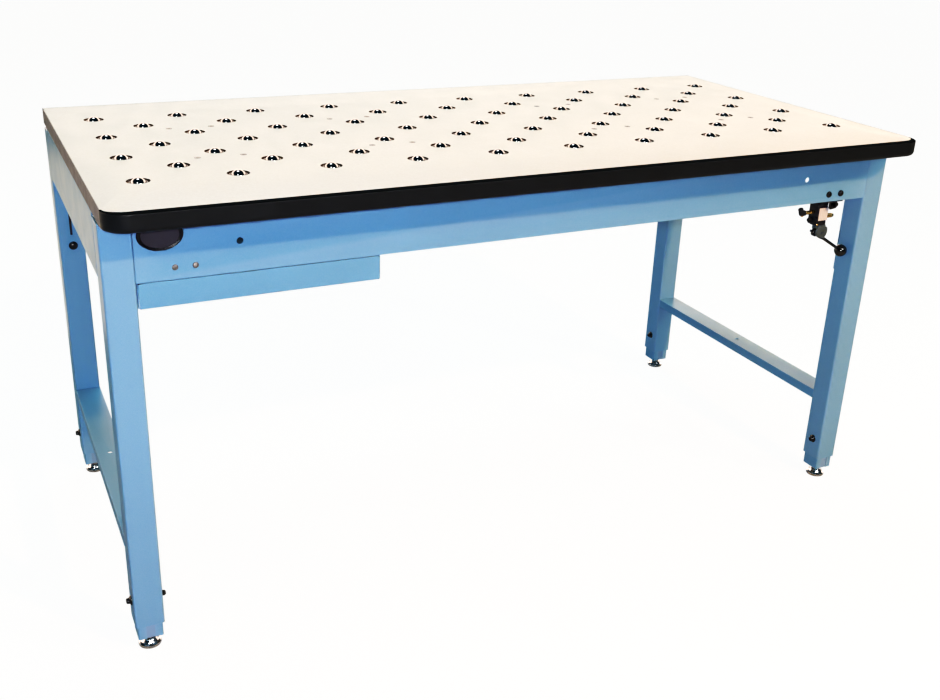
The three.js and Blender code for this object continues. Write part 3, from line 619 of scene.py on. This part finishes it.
def build_inner_leg(corner):
    """A channel with its slot to the front, a floor plate and a pale strip behind the slot."""
    low, high = box_mm(f"inner_leg_{corner}")
    middle = (low + high) / 2
    at = (middle.x, middle.y, 0)
    half = (high.x - low.x) / 2
    hollow = half - CHANNEL_WALL

    def corner_arc(side, front):
        reach = half - CHANNEL_BEND
        arc = [
            (side * reach + side * CHANNEL_BEND * math.sin(turn),
             front * reach + front * CHANNEL_BEND * math.cos(turn))
            for turn in quarter(5)
        ]
        return arc if side * front > 0 else arc[::-1]

    outline = [
        (-SLOT_HALF, -half), *corner_arc(-1, -1), *corner_arc(-1, 1), *corner_arc(1, 1), *corner_arc(1, -1),
        (SLOT_HALF, -half), (SLOT_HALF, -hollow), (hollow, -hollow), (hollow, hollow),
        (-hollow, hollow), (-hollow, -hollow), (-SLOT_HALF, -hollow),
    ]
    bm = bmesh.new()
    slab(bm, outline, low.z, high.z, at, edge=0.3)
    plate = [(-hollow, -hollow), (hollow, -hollow), (hollow, hollow), (-hollow, hollow)]
    slab(bm, plate, low.z + 0.2, low.z + 4, at)
    reach = SLOT_HALF + STRIP_OVERLAP
    front = -half + STRIP_DEPTH
    strip = [(-reach, front), (reach, front), (reach, front + STRIP_WALL), (-reach, front + STRIP_WALL)]
    slab(bm, strip, low.z + 0.4, high.z - 4, at, material=1)
    piece(f"inner_leg_{corner}_channel", bm, f"leg_extension_{corner}", [blue, slot_strip],
          [f"inner_leg_{corner}"], sharp=34, flat=True)


def build_foot(corner):
    """A round pad with a moulded skirt, a nut, a washer and the threaded stud."""
    low, high = box_mm(f"leveling_foot_{corner}")
    middle = (low + high) / 2
    at = (middle.x, middle.y, 0)
    bm = bmesh.new()
    lathe(bm, [
        (0, 0.6), (13, 0.6), (14, 0), (17.2, 0), (18.6, 0.6), (19, 1.8), (19, 4.4), (18.6, 5.6), (17.4, 6.5),
        (15.6, 7.0), (14.6, 7.6), (13.4, 9.6), (11.4, 12.2), (10.2, 13.4), (9.2, 14.0), (0, 14.0),
    ], 40, at)
    lathe(bm, [(0, 14.0), (8.6, 14.0), (9.5, 14.5), (9.5, 20.4), (8.4, 21.0), (0, 21.0)], 6, at)
    lathe(bm, [(0, 20.8), (7.6, 20.8), (7.6, 21.0), (5.0, 21.0), (4.2, 21.0)], 24, at)
    thread(bm, radius=4.8, start=20.0, end=high.z - 0.6, pitch=1.6, depth=0.55, sides=18, at=at)
    piece(f"leveling_foot_{corner}_set", bm, f"glide_{corner}", [foot_metal],
          [f"leveling_foot_{corner}"], sharp=30)


def build_lock_bolt(corner):
    """A large head on the left of the leg, a nut with a domed end on its right, and the shank between."""
    low, high = box_mm(f"leg_lock_bolt_{corner}")
    y, z = (low.y + high.y) / 2, (low.z + high.z) / 2
    leg_low, leg_high = box_mm(f"outer_leg_{corner}")
    left, right = (leg_low.x, y, z), (leg_high.x, y, z)
    through = leg_high.x - leg_low.x
    bm = bmesh.new()
    lathe(bm, [
        (0, -0.2), (8.5, -0.2), (8.5, 0.6), (8.1, 1.4), (6.9, 2.3), (5.7, 3.1), (5.1, 4.2), (4.8, 6.6),
        (4.4, 7.7), (3.5, 8.4), (2.0, 8.5), (1.6, 7.4), (0, 7.4),
    ], 28, left, "-x")
    lathe(bm, [
        (0, -0.2), (5.8, -0.2), (5.8, 0.5), (5.2, 0.9), (5.2, 1.0), (5.2, 5.2), (4.7, 5.8), (0, 5.8),
    ], 6, right, "x")
    lathe(bm, [(0, 5.2), (4.3, 5.2), (4.3, 6.4), (3.7, 7.6), (2.6, 8.3), (0, 8.5)], 24, right, "x")
    lathe(bm, [(0, 0), (4.9, 0), (4.9, through), (0, through)], 20, left, "x")
    piece(f"leg_lock_bolt_{corner}_set", bm, "bench_frame", [bolt_black],
          [f"leg_lock_bolt_{corner}"])


def gusset_face(corner):
    """Side of the bench, place of the visible face of a gusset and the way that it faces."""
    side, end = CORNERS[corner]
    low, high = box_mm(f"leg_gusset_{corner}")
    return (side, low.y, "-y") if end > 0 else (side, high.y, "y")


def build_gusset_bolt(corner):
    side, face, axis = gusset_face(corner)
    bm = bmesh.new()
    lathe(bm, [
        (0, -0.4), (8.6, -0.4), (8.6, 0.8), (8.2, 1.4), (7.6, 2.6), (6.4, 4.0), (4.6, 5.0), (3.0, 5.4),
        (2.8, 3.8), (0, 3.8),
    ], 28, (side * (BENCH / 2 - GUSSET_BOLT_INSET), face, GUSSET_BOLT_Z), axis)
    piece(f"gusset_bolt_{corner}", bm, "bench_frame", [bolt_black])


def build_slit_painted_shade(corner):
    """A black strip set into the slit of a gusset, which paints the shade in the slit's depth."""
    side, face, axis = gusset_face(corner)
    top = box_mm(f"leg_gusset_{corner}")[1].z - SLIT_TOP_GAP
    at = (side * (BENCH / 2 - SLIT_INSET), face, (top + SLIT_BOTTOM) / 2)
    bm = bmesh.new()
    # Painted shade: a thin black slab stands for the dark depth of the slit.
    slab(bm, rounded(SLIT, top - SLIT_BOTTOM, 1.2, 4), -0.3, 0.12, at, axis, edge=0.05, steps=1)
    piece(f"gusset_slit_shade_{corner}", bm, "bench_frame", [black_moulding_and_shade], sharp=40)


for corner in CORNERS:
    build_inner_leg(corner)
    build_outer_leg(corner)
    build_slit_painted_shade(corner)
    build_foot(corner)
    build_lock_bolt(corner)
    build_gusset_bolt(corner)

# Ball transfers and the screws of the worktop

BALL = 12.7
BALL_STEPS = 16
BALL_RISE = 5.5
BALL_Z = TOP + BALL_RISE - BALL
RAIL_GAP = 1.0
RAIL_TOP = UNDER - RAIL_GAP
RAIL_HALF = 19.0
RAIL_WALL = 2.5
RAIL_DEPTH = 10.0

# Screws: columns in steps of the balls, distance to either side of a column, and rows
SCREW_COLUMNS = (-3.5, -1.5, 1.5, 3.5)
SCREW_REACH = 38.1
SCREW_ROWS = (-94.6, 134.0)


def build_ball_row(row):
    """A rail with its cups and balls."""
    name = f"ball_row_{row + 1}"
    low, high = box_mm(name)
    y = row_y(row)
    outer, inner = RAIL_HALF, RAIL_HALF - RAIL_WALL
    foot, roof = RAIL_TOP - RAIL_DEPTH, RAIL_TOP - RAIL_WALL
    section = [
        (-outer, foot), (-inner, foot), (-inner, roof), (inner, roof), (inner, foot), (outer, foot),
        (outer, RAIL_TOP - 1.2), (outer - 0.35, RAIL_TOP - 0.35), (outer - 1.2, RAIL_TOP),
        (-outer + 1.2, RAIL_TOP), (-outer + 0.35, RAIL_TOP - 0.35), (-outer, RAIL_TOP - 1.2),
    ]
    cup = [
        (0, RAIL_TOP - 1.5), (15.0, RAIL_TOP - 1.5), (15.0, TOP - 3.4), (14.85, TOP - 2.4),
        (14.4, TOP - 1.7), (13.8, TOP - 1.4), (13.0, TOP - 1.55), (12.5, TOP - 2.0), (12.35, TOP - 2.7),
        (12.7, TOP - 4.2), (12.9, TOP - 8.0), (12.0, TOP - 16.0), (0, TOP - 20.5),
    ]
    ball = [(0, BALL_Z - BALL)]
    for k in range(1, BALL_STEPS):
        turn = math.pi * k / BALL_STEPS
        ball.append((BALL * math.sin(turn), BALL_Z - BALL * math.cos(turn)))
    ball.append((0, BALL_Z + BALL))
    bm = bmesh.new()
    solid(bm, [[(x, y + v, z) for v, z in section] for x in (low.x, high.x)])
    for x in row_x(row):
        lathe(bm, cup, 36, (x, y, 0), material=1)
        lathe(bm, ball, 32, (x, y, 0), material=2)
    piece(f"{name}_units", bm, "lift", [zinc, cup_steel, ball_steel], [name], sharp=40)


def build_top_screws():
    """Countersunk screws that hold the cradles, flush with the worktop, with a black ring and square that
    paint shade.
    """
    head = [
        (0, TOP - 3.0), (3.0, TOP - 3.0), (4.4, TOP - 0.2), (4.4, TOP + 0.10), (3.9, TOP + 0.16),
        (2.4, TOP + 0.16), (2.2, TOP - 1.6), (0, TOP - 1.6),
    ]
    # Painted shade: a thin black ring on the laminate round each head stands for the gap of its countersink.
    ring = [(4.2, TOP - 0.2), (5.6, TOP + 0.02), (5.6, TOP + 0.06), (4.2, TOP + 0.06)]
    spots = [
        (column * PITCH + reach, y)
        for column in SCREW_COLUMNS for reach in (-SCREW_REACH, SCREW_REACH) for y in SCREW_ROWS
    ]
    bm = bmesh.new()
    for x, y in spots:
        lathe(bm, head, 20, (x, y, 0))
        lathe(bm, ring, 20, (x, y, 0), material=1)
        # Painted shade: a small black square on each head stands for the depth of its socket.
        slab(bm, rounded(3.6, 3.6, 0.6, 2), 0.0, 0.2, (x, y, TOP), material=1)
    piece("worktop_screws", bm, "bench_frame", [screw_steel, black_moulding_and_shade])


for row in range(ROWS):
    build_ball_row(row)
build_top_screws()

# Drawer, badge and screws of the apron

APRON_FACE = -298.3
DRAWER_SCREWS_X = (-656.75, -626.25)
DRAWER_SCREWS_Z = 674.4
BADGE_SIDES = 56


def build_drawer_front():
    low, high = box_mm("drawer_front")
    middle = (low + high) / 2
    outline = rounded(high.x - low.x, high.z - low.z, [1.0, 4.0, 4.0, 1.0], 6)
    bm = bmesh.new()
    slab(bm, outline, 0.0, 2.0, (middle.x, low.y, middle.z), "y", edge=0.9, steps=4)
    piece("drawer_front_panel", bm, "drawer", [blue], ["drawer_front"], sharp=40)


def build_drawer_screws():
    bm = bmesh.new()
    for x in DRAWER_SCREWS_X:
        lathe(bm, [
            (0, -1.0), (2.9, -1.0), (2.9, 0.0), (4.7, 0.0), (4.7, 0.5), (4.4, 1.1), (3.7, 1.5), (2.2, 1.7),
            (1.7, 1.7), (1.6, 0.6), (0, 0.6),
        ], 24, (x, APRON_FACE, DRAWER_SCREWS_Z), "-y")
    piece("drawer_screws", bm, "bench_frame", [screw_steel])


def build_badge():
    """A bare oval plate with a raised rim and a slightly domed field."""
    low, high = box_mm("badge_plate")
    middle = (low + high) / 2
    wide, tall = (high.x - low.x) / 2, (high.z - low.z) / 2
    rim = [
        (1.0, 0.0), (1.0, 1.4), (0.985, 2.1), (0.965, 2.45), (0.94, 2.5), (0.915, 2.3), (0.90, 1.8),
        (0.885, 1.5),
    ]
    dome = [(0.82, 1.45), (0.5, 1.6), (0.2, 1.66)]
    angles = [2 * math.pi * i / BADGE_SIDES for i in range(BADGE_SIDES)]
    rings = [
        [(middle.x + wide * share * math.cos(t), high.y - rise, middle.z + tall * share * math.sin(t))
         for t in angles]
        for share, rise in rim + dome
    ]
    rings.append([(middle.x, high.y - 1.68, middle.z)])
    bm = bmesh.new()
    rows = solid(bm, rings)
    field = {vert for row in rows[len(rim):] for vert in row}
    for face in bm.faces:
        if all(vert in field for vert in face.verts):
            face.material_index = 1
    piece("badge_plate_bare", bm, "bench_frame", [badge_black, badge_field],
          ["badge_plate"], sharp=50)


build_drawer_front()
sheet("drawer_tray", "drawer", zinc, bend=1.2, rim=0.25)
for side in ("left", "right"):
    sheet(f"drawer_slide_{side}", "bench_frame", zinc, bend=None, rim=0.2)
build_drawer_screws()
build_badge()

# Valve

PIVOT = Vector((621.3, -275.5, 585.3))
LEVER_LEAN = math.radians(58.8)
ELBOW_LEAN = math.radians(-24)
KNOB = 12.7
KNOB_STEPS = 20
KNOB_REACH = 92.0

valve_low, valve_high = box_mm("valve_body")
VALVE_X = (valve_low.x + valve_high.x) / 2
VALVE_Y = (valve_low.y + valve_high.y) / 2


def build_valve_bracket():
    sheet("valve_bracket", "bench_frame", black_moulding_and_shade, bend=1.4)
    low, high = box_mm("valve_bracket")
    at = (high.x - 26.0, low.y, valve_high.z - 6.5)
    bm = bmesh.new()
    slab(bm, rounded(16.0, 12.0, 1.2, 3), 0.0, 2.0, at, "y", edge=0.3, steps=2)
    piece("valve_bracket_web", bm, "bench_frame", [black_moulding_and_shade])


def build_valve_body():
    """Two caps and a middle block with four screws, a bare label plate, a port plug and a vent screw."""
    low, high = valve_low, valve_high
    width = high.x - low.x
    bm = bmesh.new()
    for start, end in ((low.z, low.z + 8.0), (low.z + 8.5, high.z - 9.0), (high.z - 8.5, high.z)):
        slab(bm, rounded(width, width, 1.6, 4), start, end, (VALVE_X, VALVE_Y, 0), edge=0.5, steps=2)
    slab(bm, rounded(width - 1.4, width - 1.4, 1.2, 3), low.z + 7.6, high.z - 8.1, (VALVE_X, VALVE_Y, 0))
    for dx in (-8.6, 8.6):
        for z in (low.z + 4.0, high.z - 4.2):
            lathe(bm, [
                (0, -0.3), (2.3, -0.3), (2.3, 0.15), (2.0, 0.28), (1.2, 0.28), (1.1, -0.2), (0, -0.2),
            ], 16, (VALVE_X + dx, low.y, z), "-y")
    piece("valve_body_block", bm, "bench_frame", [anodised], ["valve_body"])

    at = (VALVE_X + 2.4, low.y, (low.z + high.z) / 2 - 1.5)
    bm = bmesh.new()
    slab(bm, rounded(23.0, 26.0, 0.8, 3), -0.2, 0.25, at, "-y", edge=0.1, steps=1)
    piece("valve_label_plate", bm, "bench_frame", [label])

    bm = bmesh.new()
    lathe(bm, [
        (0, -0.5), (5.2, -0.5), (5.2, 1.2), (4.6, 1.6), (4.6, 5.6), (4.0, 6.4), (2.6, 6.6), (2.4, 4.4),
        (0, 4.4),
    ], 8, (low.x, VALVE_Y + 4.5, low.z + 8.0), "-x")
    piece("valve_port_plug", bm, "bench_frame", [black_moulding_and_shade], sharp=30)

    bm = bmesh.new()
    lathe(bm, [
        (0, -0.4), (1.9, -0.4), (1.9, 0.5), (1.5, 0.9), (0.5, 0.9), (0.4, 0.3), (0, 0.3),
    ], 16, (VALVE_X - width / 2 + 2.6, low.y, low.z + 2.4), "-y")
    piece("valve_vent_screw", bm, "bench_frame", [brass], sharp=30)


def build_valve_bonnet():
    """A cheek in front of the lever, a short one behind it, a roof, the pivot pin and a screw."""
    cheek = [
        (-5.5, 15.6), (13.0, 15.6), (17.2, 13.0), (18.6, 8.0), (18.2, 1.0), (15.4, -5.6), (11.6, -9.4),
        (5.5, -9.0), (-3.0, -5.8), (-9.0, -2.6), (-11.2, 1.6), (-10.6, 9.0),
    ]
    rear_cheek = [(4.0, 18.4), (19.4, 18.4), (19.8, 2.0), (13.0, -9.6), (8.0, -4.0), (4.0, 6.0)]
    mid_x, mid_z = 2.0, 4.0
    bm = bmesh.new()
    for outline, start, end in ((cheek, -15.0, -11.4), (rear_cheek, 11.4, 14.0)):
        rings = []
        for share, depth in ((0.94, start), (1.0, start + 0.7), (1.0, end - 0.5), (0.96, end)):
            rings.append([
                (PIVOT.x + mid_x + (u - mid_x) * share, PIVOT.y + depth,
                 PIVOT.z + mid_z + (v - mid_z) * share)
                for u, v in outline
            ])
        solid(bm, rings)
    slab(bm, rounded(19.0, 28.0, 2.0, 3), -1.6, 2.2, (VALVE_X + 4.0, VALVE_Y, valve_low.z - 2.0),
         edge=0.4, steps=2)
    lathe(bm, [(0, -12.0), (2.6, -12.0), (2.6, 12.0), (0, 12.0)], 20, PIVOT, "y")
    lathe(bm, [
        (0, 14.4), (3.4, 14.4), (3.4, 16.2), (2.9, 16.8), (1.6, 16.8), (1.5, 16.0), (0, 16.0),
    ], 20, (PIVOT.x + 6.0, PIVOT.y, PIVOT.z + 4.0), "-y")
    piece("valve_bonnet_cast", bm, "bench_frame", [cast_grey], ["valve_bonnet"])


def build_valve_inlet():
    """A turned stem with a collar and a hexagon, and the elbow on its end."""
    low, high = box_mm("valve_inlet_stem")
    z = (low.z + high.z) / 2
    length = high.x - low.x
    at = (low.x, VALVE_Y, z)
    bm = bmesh.new()
    lathe(bm, [
        (0, -0.5), (4.0, -0.5), (4.0, 1.6), (3.5, 2.0), (3.5, 3.4), (4.0, 3.8), (4.0, 10.4), (3.4, 10.8),
        (3.4, length - 4.4),
    ], 24, at, "x")
    lathe(bm, [
        (0, 11.6), (3.9, 11.6), (4.0, 12.0), (4.0, length - 0.6), (3.9, length - 0.1), (0, length - 0.1),
    ], 6, at, "x")
    piece("valve_inlet_stem_turned", bm, "bench_frame", [brass], ["valve_inlet_stem"])

    at = (box_mm("valve_inlet_elbow")[0].x + 7.5, VALVE_Y, z)
    lean = Matrix.Rotation(ELBOW_LEAN, 3, "Y")
    bm = bmesh.new()
    lathe(bm, [
        (0, -3.6), (4.6, -3.6), (5.4, -3.0), (5.6, 0.0), (5.6, 3.0), (5.2, 4.2), (5.2, 9.4), (4.6, 10.6),
        (3.2, 10.8), (2.8, 8.6), (0, 8.6),
    ], 28, at, lean)
    lathe(bm, [(0, 0), (5.0, 0), (5.0, 5.0), (5.6, 5.6), (5.6, 7.6), (5.2, 8.0), (0, 8.0)], 28, at, "x")
    lathe(bm, [
        (0, -7.0), (2.6, -7.0), (3.2, -6.4), (3.2, -4.4), (3.9, -4.2), (3.9, -3.4), (0, -3.4),
    ], 20, at, lean, material=1)
    piece("valve_inlet_elbow_moulded", bm, "bench_frame", [black_moulding_and_shade, brass],
          ["valve_inlet_elbow"])


def build_valve_outlet():
    """A hexagon and a ribbed spout with an open end."""
    low, high = box_mm("valve_outlet")
    at = (low.x, VALVE_Y, (low.z + high.z) / 2)
    bm = bmesh.new()
    lathe(bm, [(0, 0), (6.2, 0), (7.0, 0.7), (7.0, 6.2), (6.2, 6.9), (0, 6.9)], 6, at, "x")
    lathe(bm, [
        (0, 6.4), (4.4, 6.4), (4.4, 9.0), (3.9, 9.4), (3.9, 11.0), (4.6, 11.6), (4.6, 13.6), (3.9, 14.2),
        (3.9, 15.8), (4.6, 16.4), (4.6, 18.4), (3.9, 19.0), (3.9, 20.6), (4.6, 21.2), (4.6, 23.2),
        (3.9, 24.2), (3.5, 27.4), (2.7, 28.0), (2.2, 28.0), (2.1, 22.0), (0, 22.0),
    ], 28, at, "x")
    piece("valve_outlet_turned", bm, "bench_frame", [brass], ["valve_outlet"])


def build_valve_bolt(index):
    low, high = box_mm(f"valve_bolt_{index}")
    bm = bmesh.new()
    lathe(bm, [
        (0, -9.0), (2.9, -9.0), (2.9, 0), (6.5, 0), (6.5, 0.6), (6.1, 1.8), (5.1, 3.0), (3.7, 3.8),
        (2.3, 4.0), (2.1, 2.2), (0, 2.2),
    ], 28, ((low.x + high.x) / 2, APRON_FACE, (low.z + high.z) / 2), "-y")
    piece(f"valve_bolt_{index}_domed", bm, "bench_frame", [bolt_black],
          [f"valve_bolt_{index}"])


def build_lever():
    """A hub on the pivot, a tapering rod and the ball knob on its end."""
    down = Vector((math.sin(LEVER_LEAN), 0, -math.cos(LEVER_LEAN)))
    side = Vector((0, 1, 0))
    along = Matrix((side.cross(down), side, down)).transposed()
    bm = bmesh.new()
    lathe(bm, [(0, -3.8), (7.2, -3.8), (8.0, -3.0), (8.0, 3.0), (7.2, 3.8), (0, 3.8)], 28, PIVOT, "y")
    lathe(bm, [
        (0, 4.0), (5.4, 4.0), (5.4, 12.0), (5.0, 20.0), (3.8, 27.0), (3.2, 32.0), (3.0, 86.0), (0, 86.0),
    ], 20, PIVOT, along)
    piece("valve_lever_rod", bm, "lever", [bolt_black], ["valve_lever"])

    profile = [
        (0, KNOB_REACH - KNOB + 0.6), (4.6, KNOB_REACH - KNOB + 0.6), (5.4, KNOB_REACH - KNOB + 1.3),
    ]
    start = math.acos((KNOB - 1.7) / KNOB)
    for k in range(KNOB_STEPS):
        turn = start + (math.pi - start) * k / KNOB_STEPS
        profile.append((KNOB * math.sin(turn), KNOB_REACH - KNOB * math.cos(turn)))
    profile.append((0, KNOB_REACH + KNOB))
    bm = bmesh.new()
    lathe(bm, profile, 40, PIVOT, along)
    piece("valve_knob_ball", bm, "lever", [knob_black], ["valve_knob"], sharp=44)


build_valve_bracket()
build_valve_body()
build_valve_bonnet()
build_valve_inlet()
build_valve_outlet()
for index in (1, 2):
    build_valve_bolt(index)
build_lever()

# Studio, in metres

FLOOR_RADIUS = 60.0
WHITE = (1.0, 0.99, 0.97)
COOL = (0.72, 0.85, 1.0)

# Name, place and target of each disc of light, then its size, power and colour for matt surfaces,
# and the same as it shows in reflections.
STUDIO = (
    ("left", (-2.6, -1.6, 2.3), (-0.3, 0.0, 0.6), (0.6, 5.7, (1.0, 0.977, 0.186)), (0.6, 12, WHITE)),
    ("right", (1.02, -2.88, 2.76), (0.4, 0.0, 0.6), (0.14, 74.0, (1.0, 0.50, 0.21)), (0.6, 34, WHITE)),
    ("far_right", (2.6, -2.5, 2.64), (0.4, 0.0, 0.6), (0.4, 26.9, (0.921, 1.0, 0.771)), (0.4, 18, WHITE)),
    ("front", (-1.9, -3.1, 0.95), (-0.3, -0.3, 0.6), (1.5, 19.8, (0.0, 0.0, 1.0)), (1.5, 22, COOL)),
    ("camera", (-0.97, -1.86, 1.27), (0.1, 0.0, 0.55), (0.05, 17.0, (0.72, 0.86, 1.0)), (0.35, 24, WHITE)),
    ("overhead", (-0.75, -1.5, 2.8), (-0.1, -0.2, 0.8), (0.5, 2.7, (0.69, 0.79, 1.0)), (0.5, 4, WHITE)),
    ("rear", (0.2, 1.6, 4.2), (0.0, 0.2, 0.7), (1.4, 39.4, (0.478, 0.936, 1.0)), (1.4, 42, WHITE)),
    ("ceiling", (-0.4, 1.4, 4.0), (-0.2, 0.2, 0.7), (3.4, 24.5, (0.133, 0.319, 1.0)), None),
    ("floor", (-1.3, 2.15, 0.02), (-1.3, 2.15, 1.0), None, (2.3, 14, (1.0, 0.77, 0.54))),
)

# Direction, half angle in degrees and brightness of each lamp in sharp reflections
LAMPS = (
    ((0.2, 1.6, 3.5), 10.0, 7.0),
    ((0.62, -2.88, 1.9), 6.0, 12.0),
    ((-0.97, -1.86, 0.60), 6.0, 12.0),
    ((-0.75, -1.5, 2.0), 6.0, 9.0),
)
BACKDROP = (0.97, 0.97, 0.97, 1.0)
ROOM = (0.165, 0.212, 0.172)
DARK_ROOM = (0.005, 0.030, 0.050)
PALE_WALL = (2.96, 2.37, 1.96)


def build_floor():
    bm = bmesh.new()
    loft(bm, [circle(FLOOR_RADIUS, 0.0, 64), [(0, 0, 0)]])
    mesh = bpy.data.meshes.new("studio_floor")
    bm.to_mesh(mesh)
    bm.free()
    mesh.materials.append(make_floor())
    floor = bpy.data.objects.new("studio_floor", mesh)
    scene.collection.objects.link(floor)


def area_light(name, place, target, size, power, color):
    data = bpy.data.lights.new(name, "AREA")
    data.shape = "DISK"
    data.size = size
    data.energy = power
    data.color = color
    light = bpy.data.objects.new(name, data)
    light.location = place
    light.visible_camera = False
    light.rotation_euler = (Vector(target) - Vector(place)).to_track_quat("-Z", "Y").to_euler()
    scene.collection.objects.link(light)
    return light


def make_world():
    """A white backdrop, a dim room, and for glossy surfaces a pale wall behind the bench and lamps."""
    world = bpy.data.worlds.new("studio")
    world.use_nodes = True
    tree = world.node_tree
    path = add_node(tree, "ShaderNodeLightPath").outputs
    aim = add_node(tree, "ShaderNodeTexCoord").outputs["Generated"]
    parts = add_node(tree, "ShaderNodeSeparateXYZ", {"Vector": aim}).outputs
    low = spread(tree, parts["Z"], 1.0, 0.0, start=0.42, end=0.60)
    behind = spread(tree, parts["Y"], start=-0.1, end=0.3)
    wall = add_node(tree, "ShaderNodeMath", {0: low, 1: behind}, operation="MULTIPLY")
    mirrored = mixed(tree, wall.outputs[0], DARK_ROOM, PALE_WALL)
    for toward, reach, glow in LAMPS:
        facing = add_node(tree, "ShaderNodeVectorMath", {0: aim, 1: Vector(toward).normalized()},
                          operation="DOT_PRODUCT")
        start, end = (math.cos(math.radians(reach * part)) for part in (1.15, 0.85))
        spot = spread(tree, facing.outputs["Value"], start=start, end=end)
        mirrored = mixed(tree, spot, mirrored, (glow, glow, glow))
    room = mixed(tree, path["Is Glossy Ray"], ROOM, mirrored)
    near = tree.nodes["Background"]
    tree.links.new(room, near.inputs["Color"])
    far = add_node(tree, "ShaderNodeBackground", {"Color": BACKDROP, "Strength": 1.0})
    both = add_node(tree, "ShaderNodeMixShader", {
        0: path["Is Camera Ray"], 1: near.outputs[0], 2: far.outputs[0],
    })
    tree.links.new(both.outputs[0], tree.nodes["World Output"].inputs["Surface"])
    return world


build_floor()
for name, place, target, matt, mirrored in STUDIO:
    if matt:
        area_light(f"{name}_light", place, target, *matt).visible_glossy = False
    if mirrored:
        area_light(f"{name}_mirror", place, target, *mirrored).visible_diffuse = False
scene.world = make_world()

camera_data = bpy.data.cameras.new("camera")
camera_data.sensor_width = 36.0
camera_data.lens = 41.357
camera_data.shift_x = -0.00503
camera_data.shift_y = -0.03951
camera_data.clip_end = 200.0
camera = bpy.data.objects.new("camera", camera_data)
camera.location = (-0.93831, -1.84409, 1.22429)
camera.rotation_euler = [math.radians(angle) for angle in (68.1342, -2.0560, -26.0252)]
scene.collection.objects.link(camera)
scene.camera = camera

# Tone curve of the photograph: deeper shadows and brighter middle tones
TONES = ((0.06, 0.024), (0.14, 0.090), (0.30, 0.30), (0.60, 0.67))

scene.view_settings.view_transform = "Standard"
scene.view_settings.look = "None"
scene.view_settings.exposure = 0.0
scene.view_settings.use_curve_mapping = True
curve = scene.view_settings.curve_mapping
for tone, shown in TONES:
    curve.curves[3].points.new(tone, shown)
curve.update()
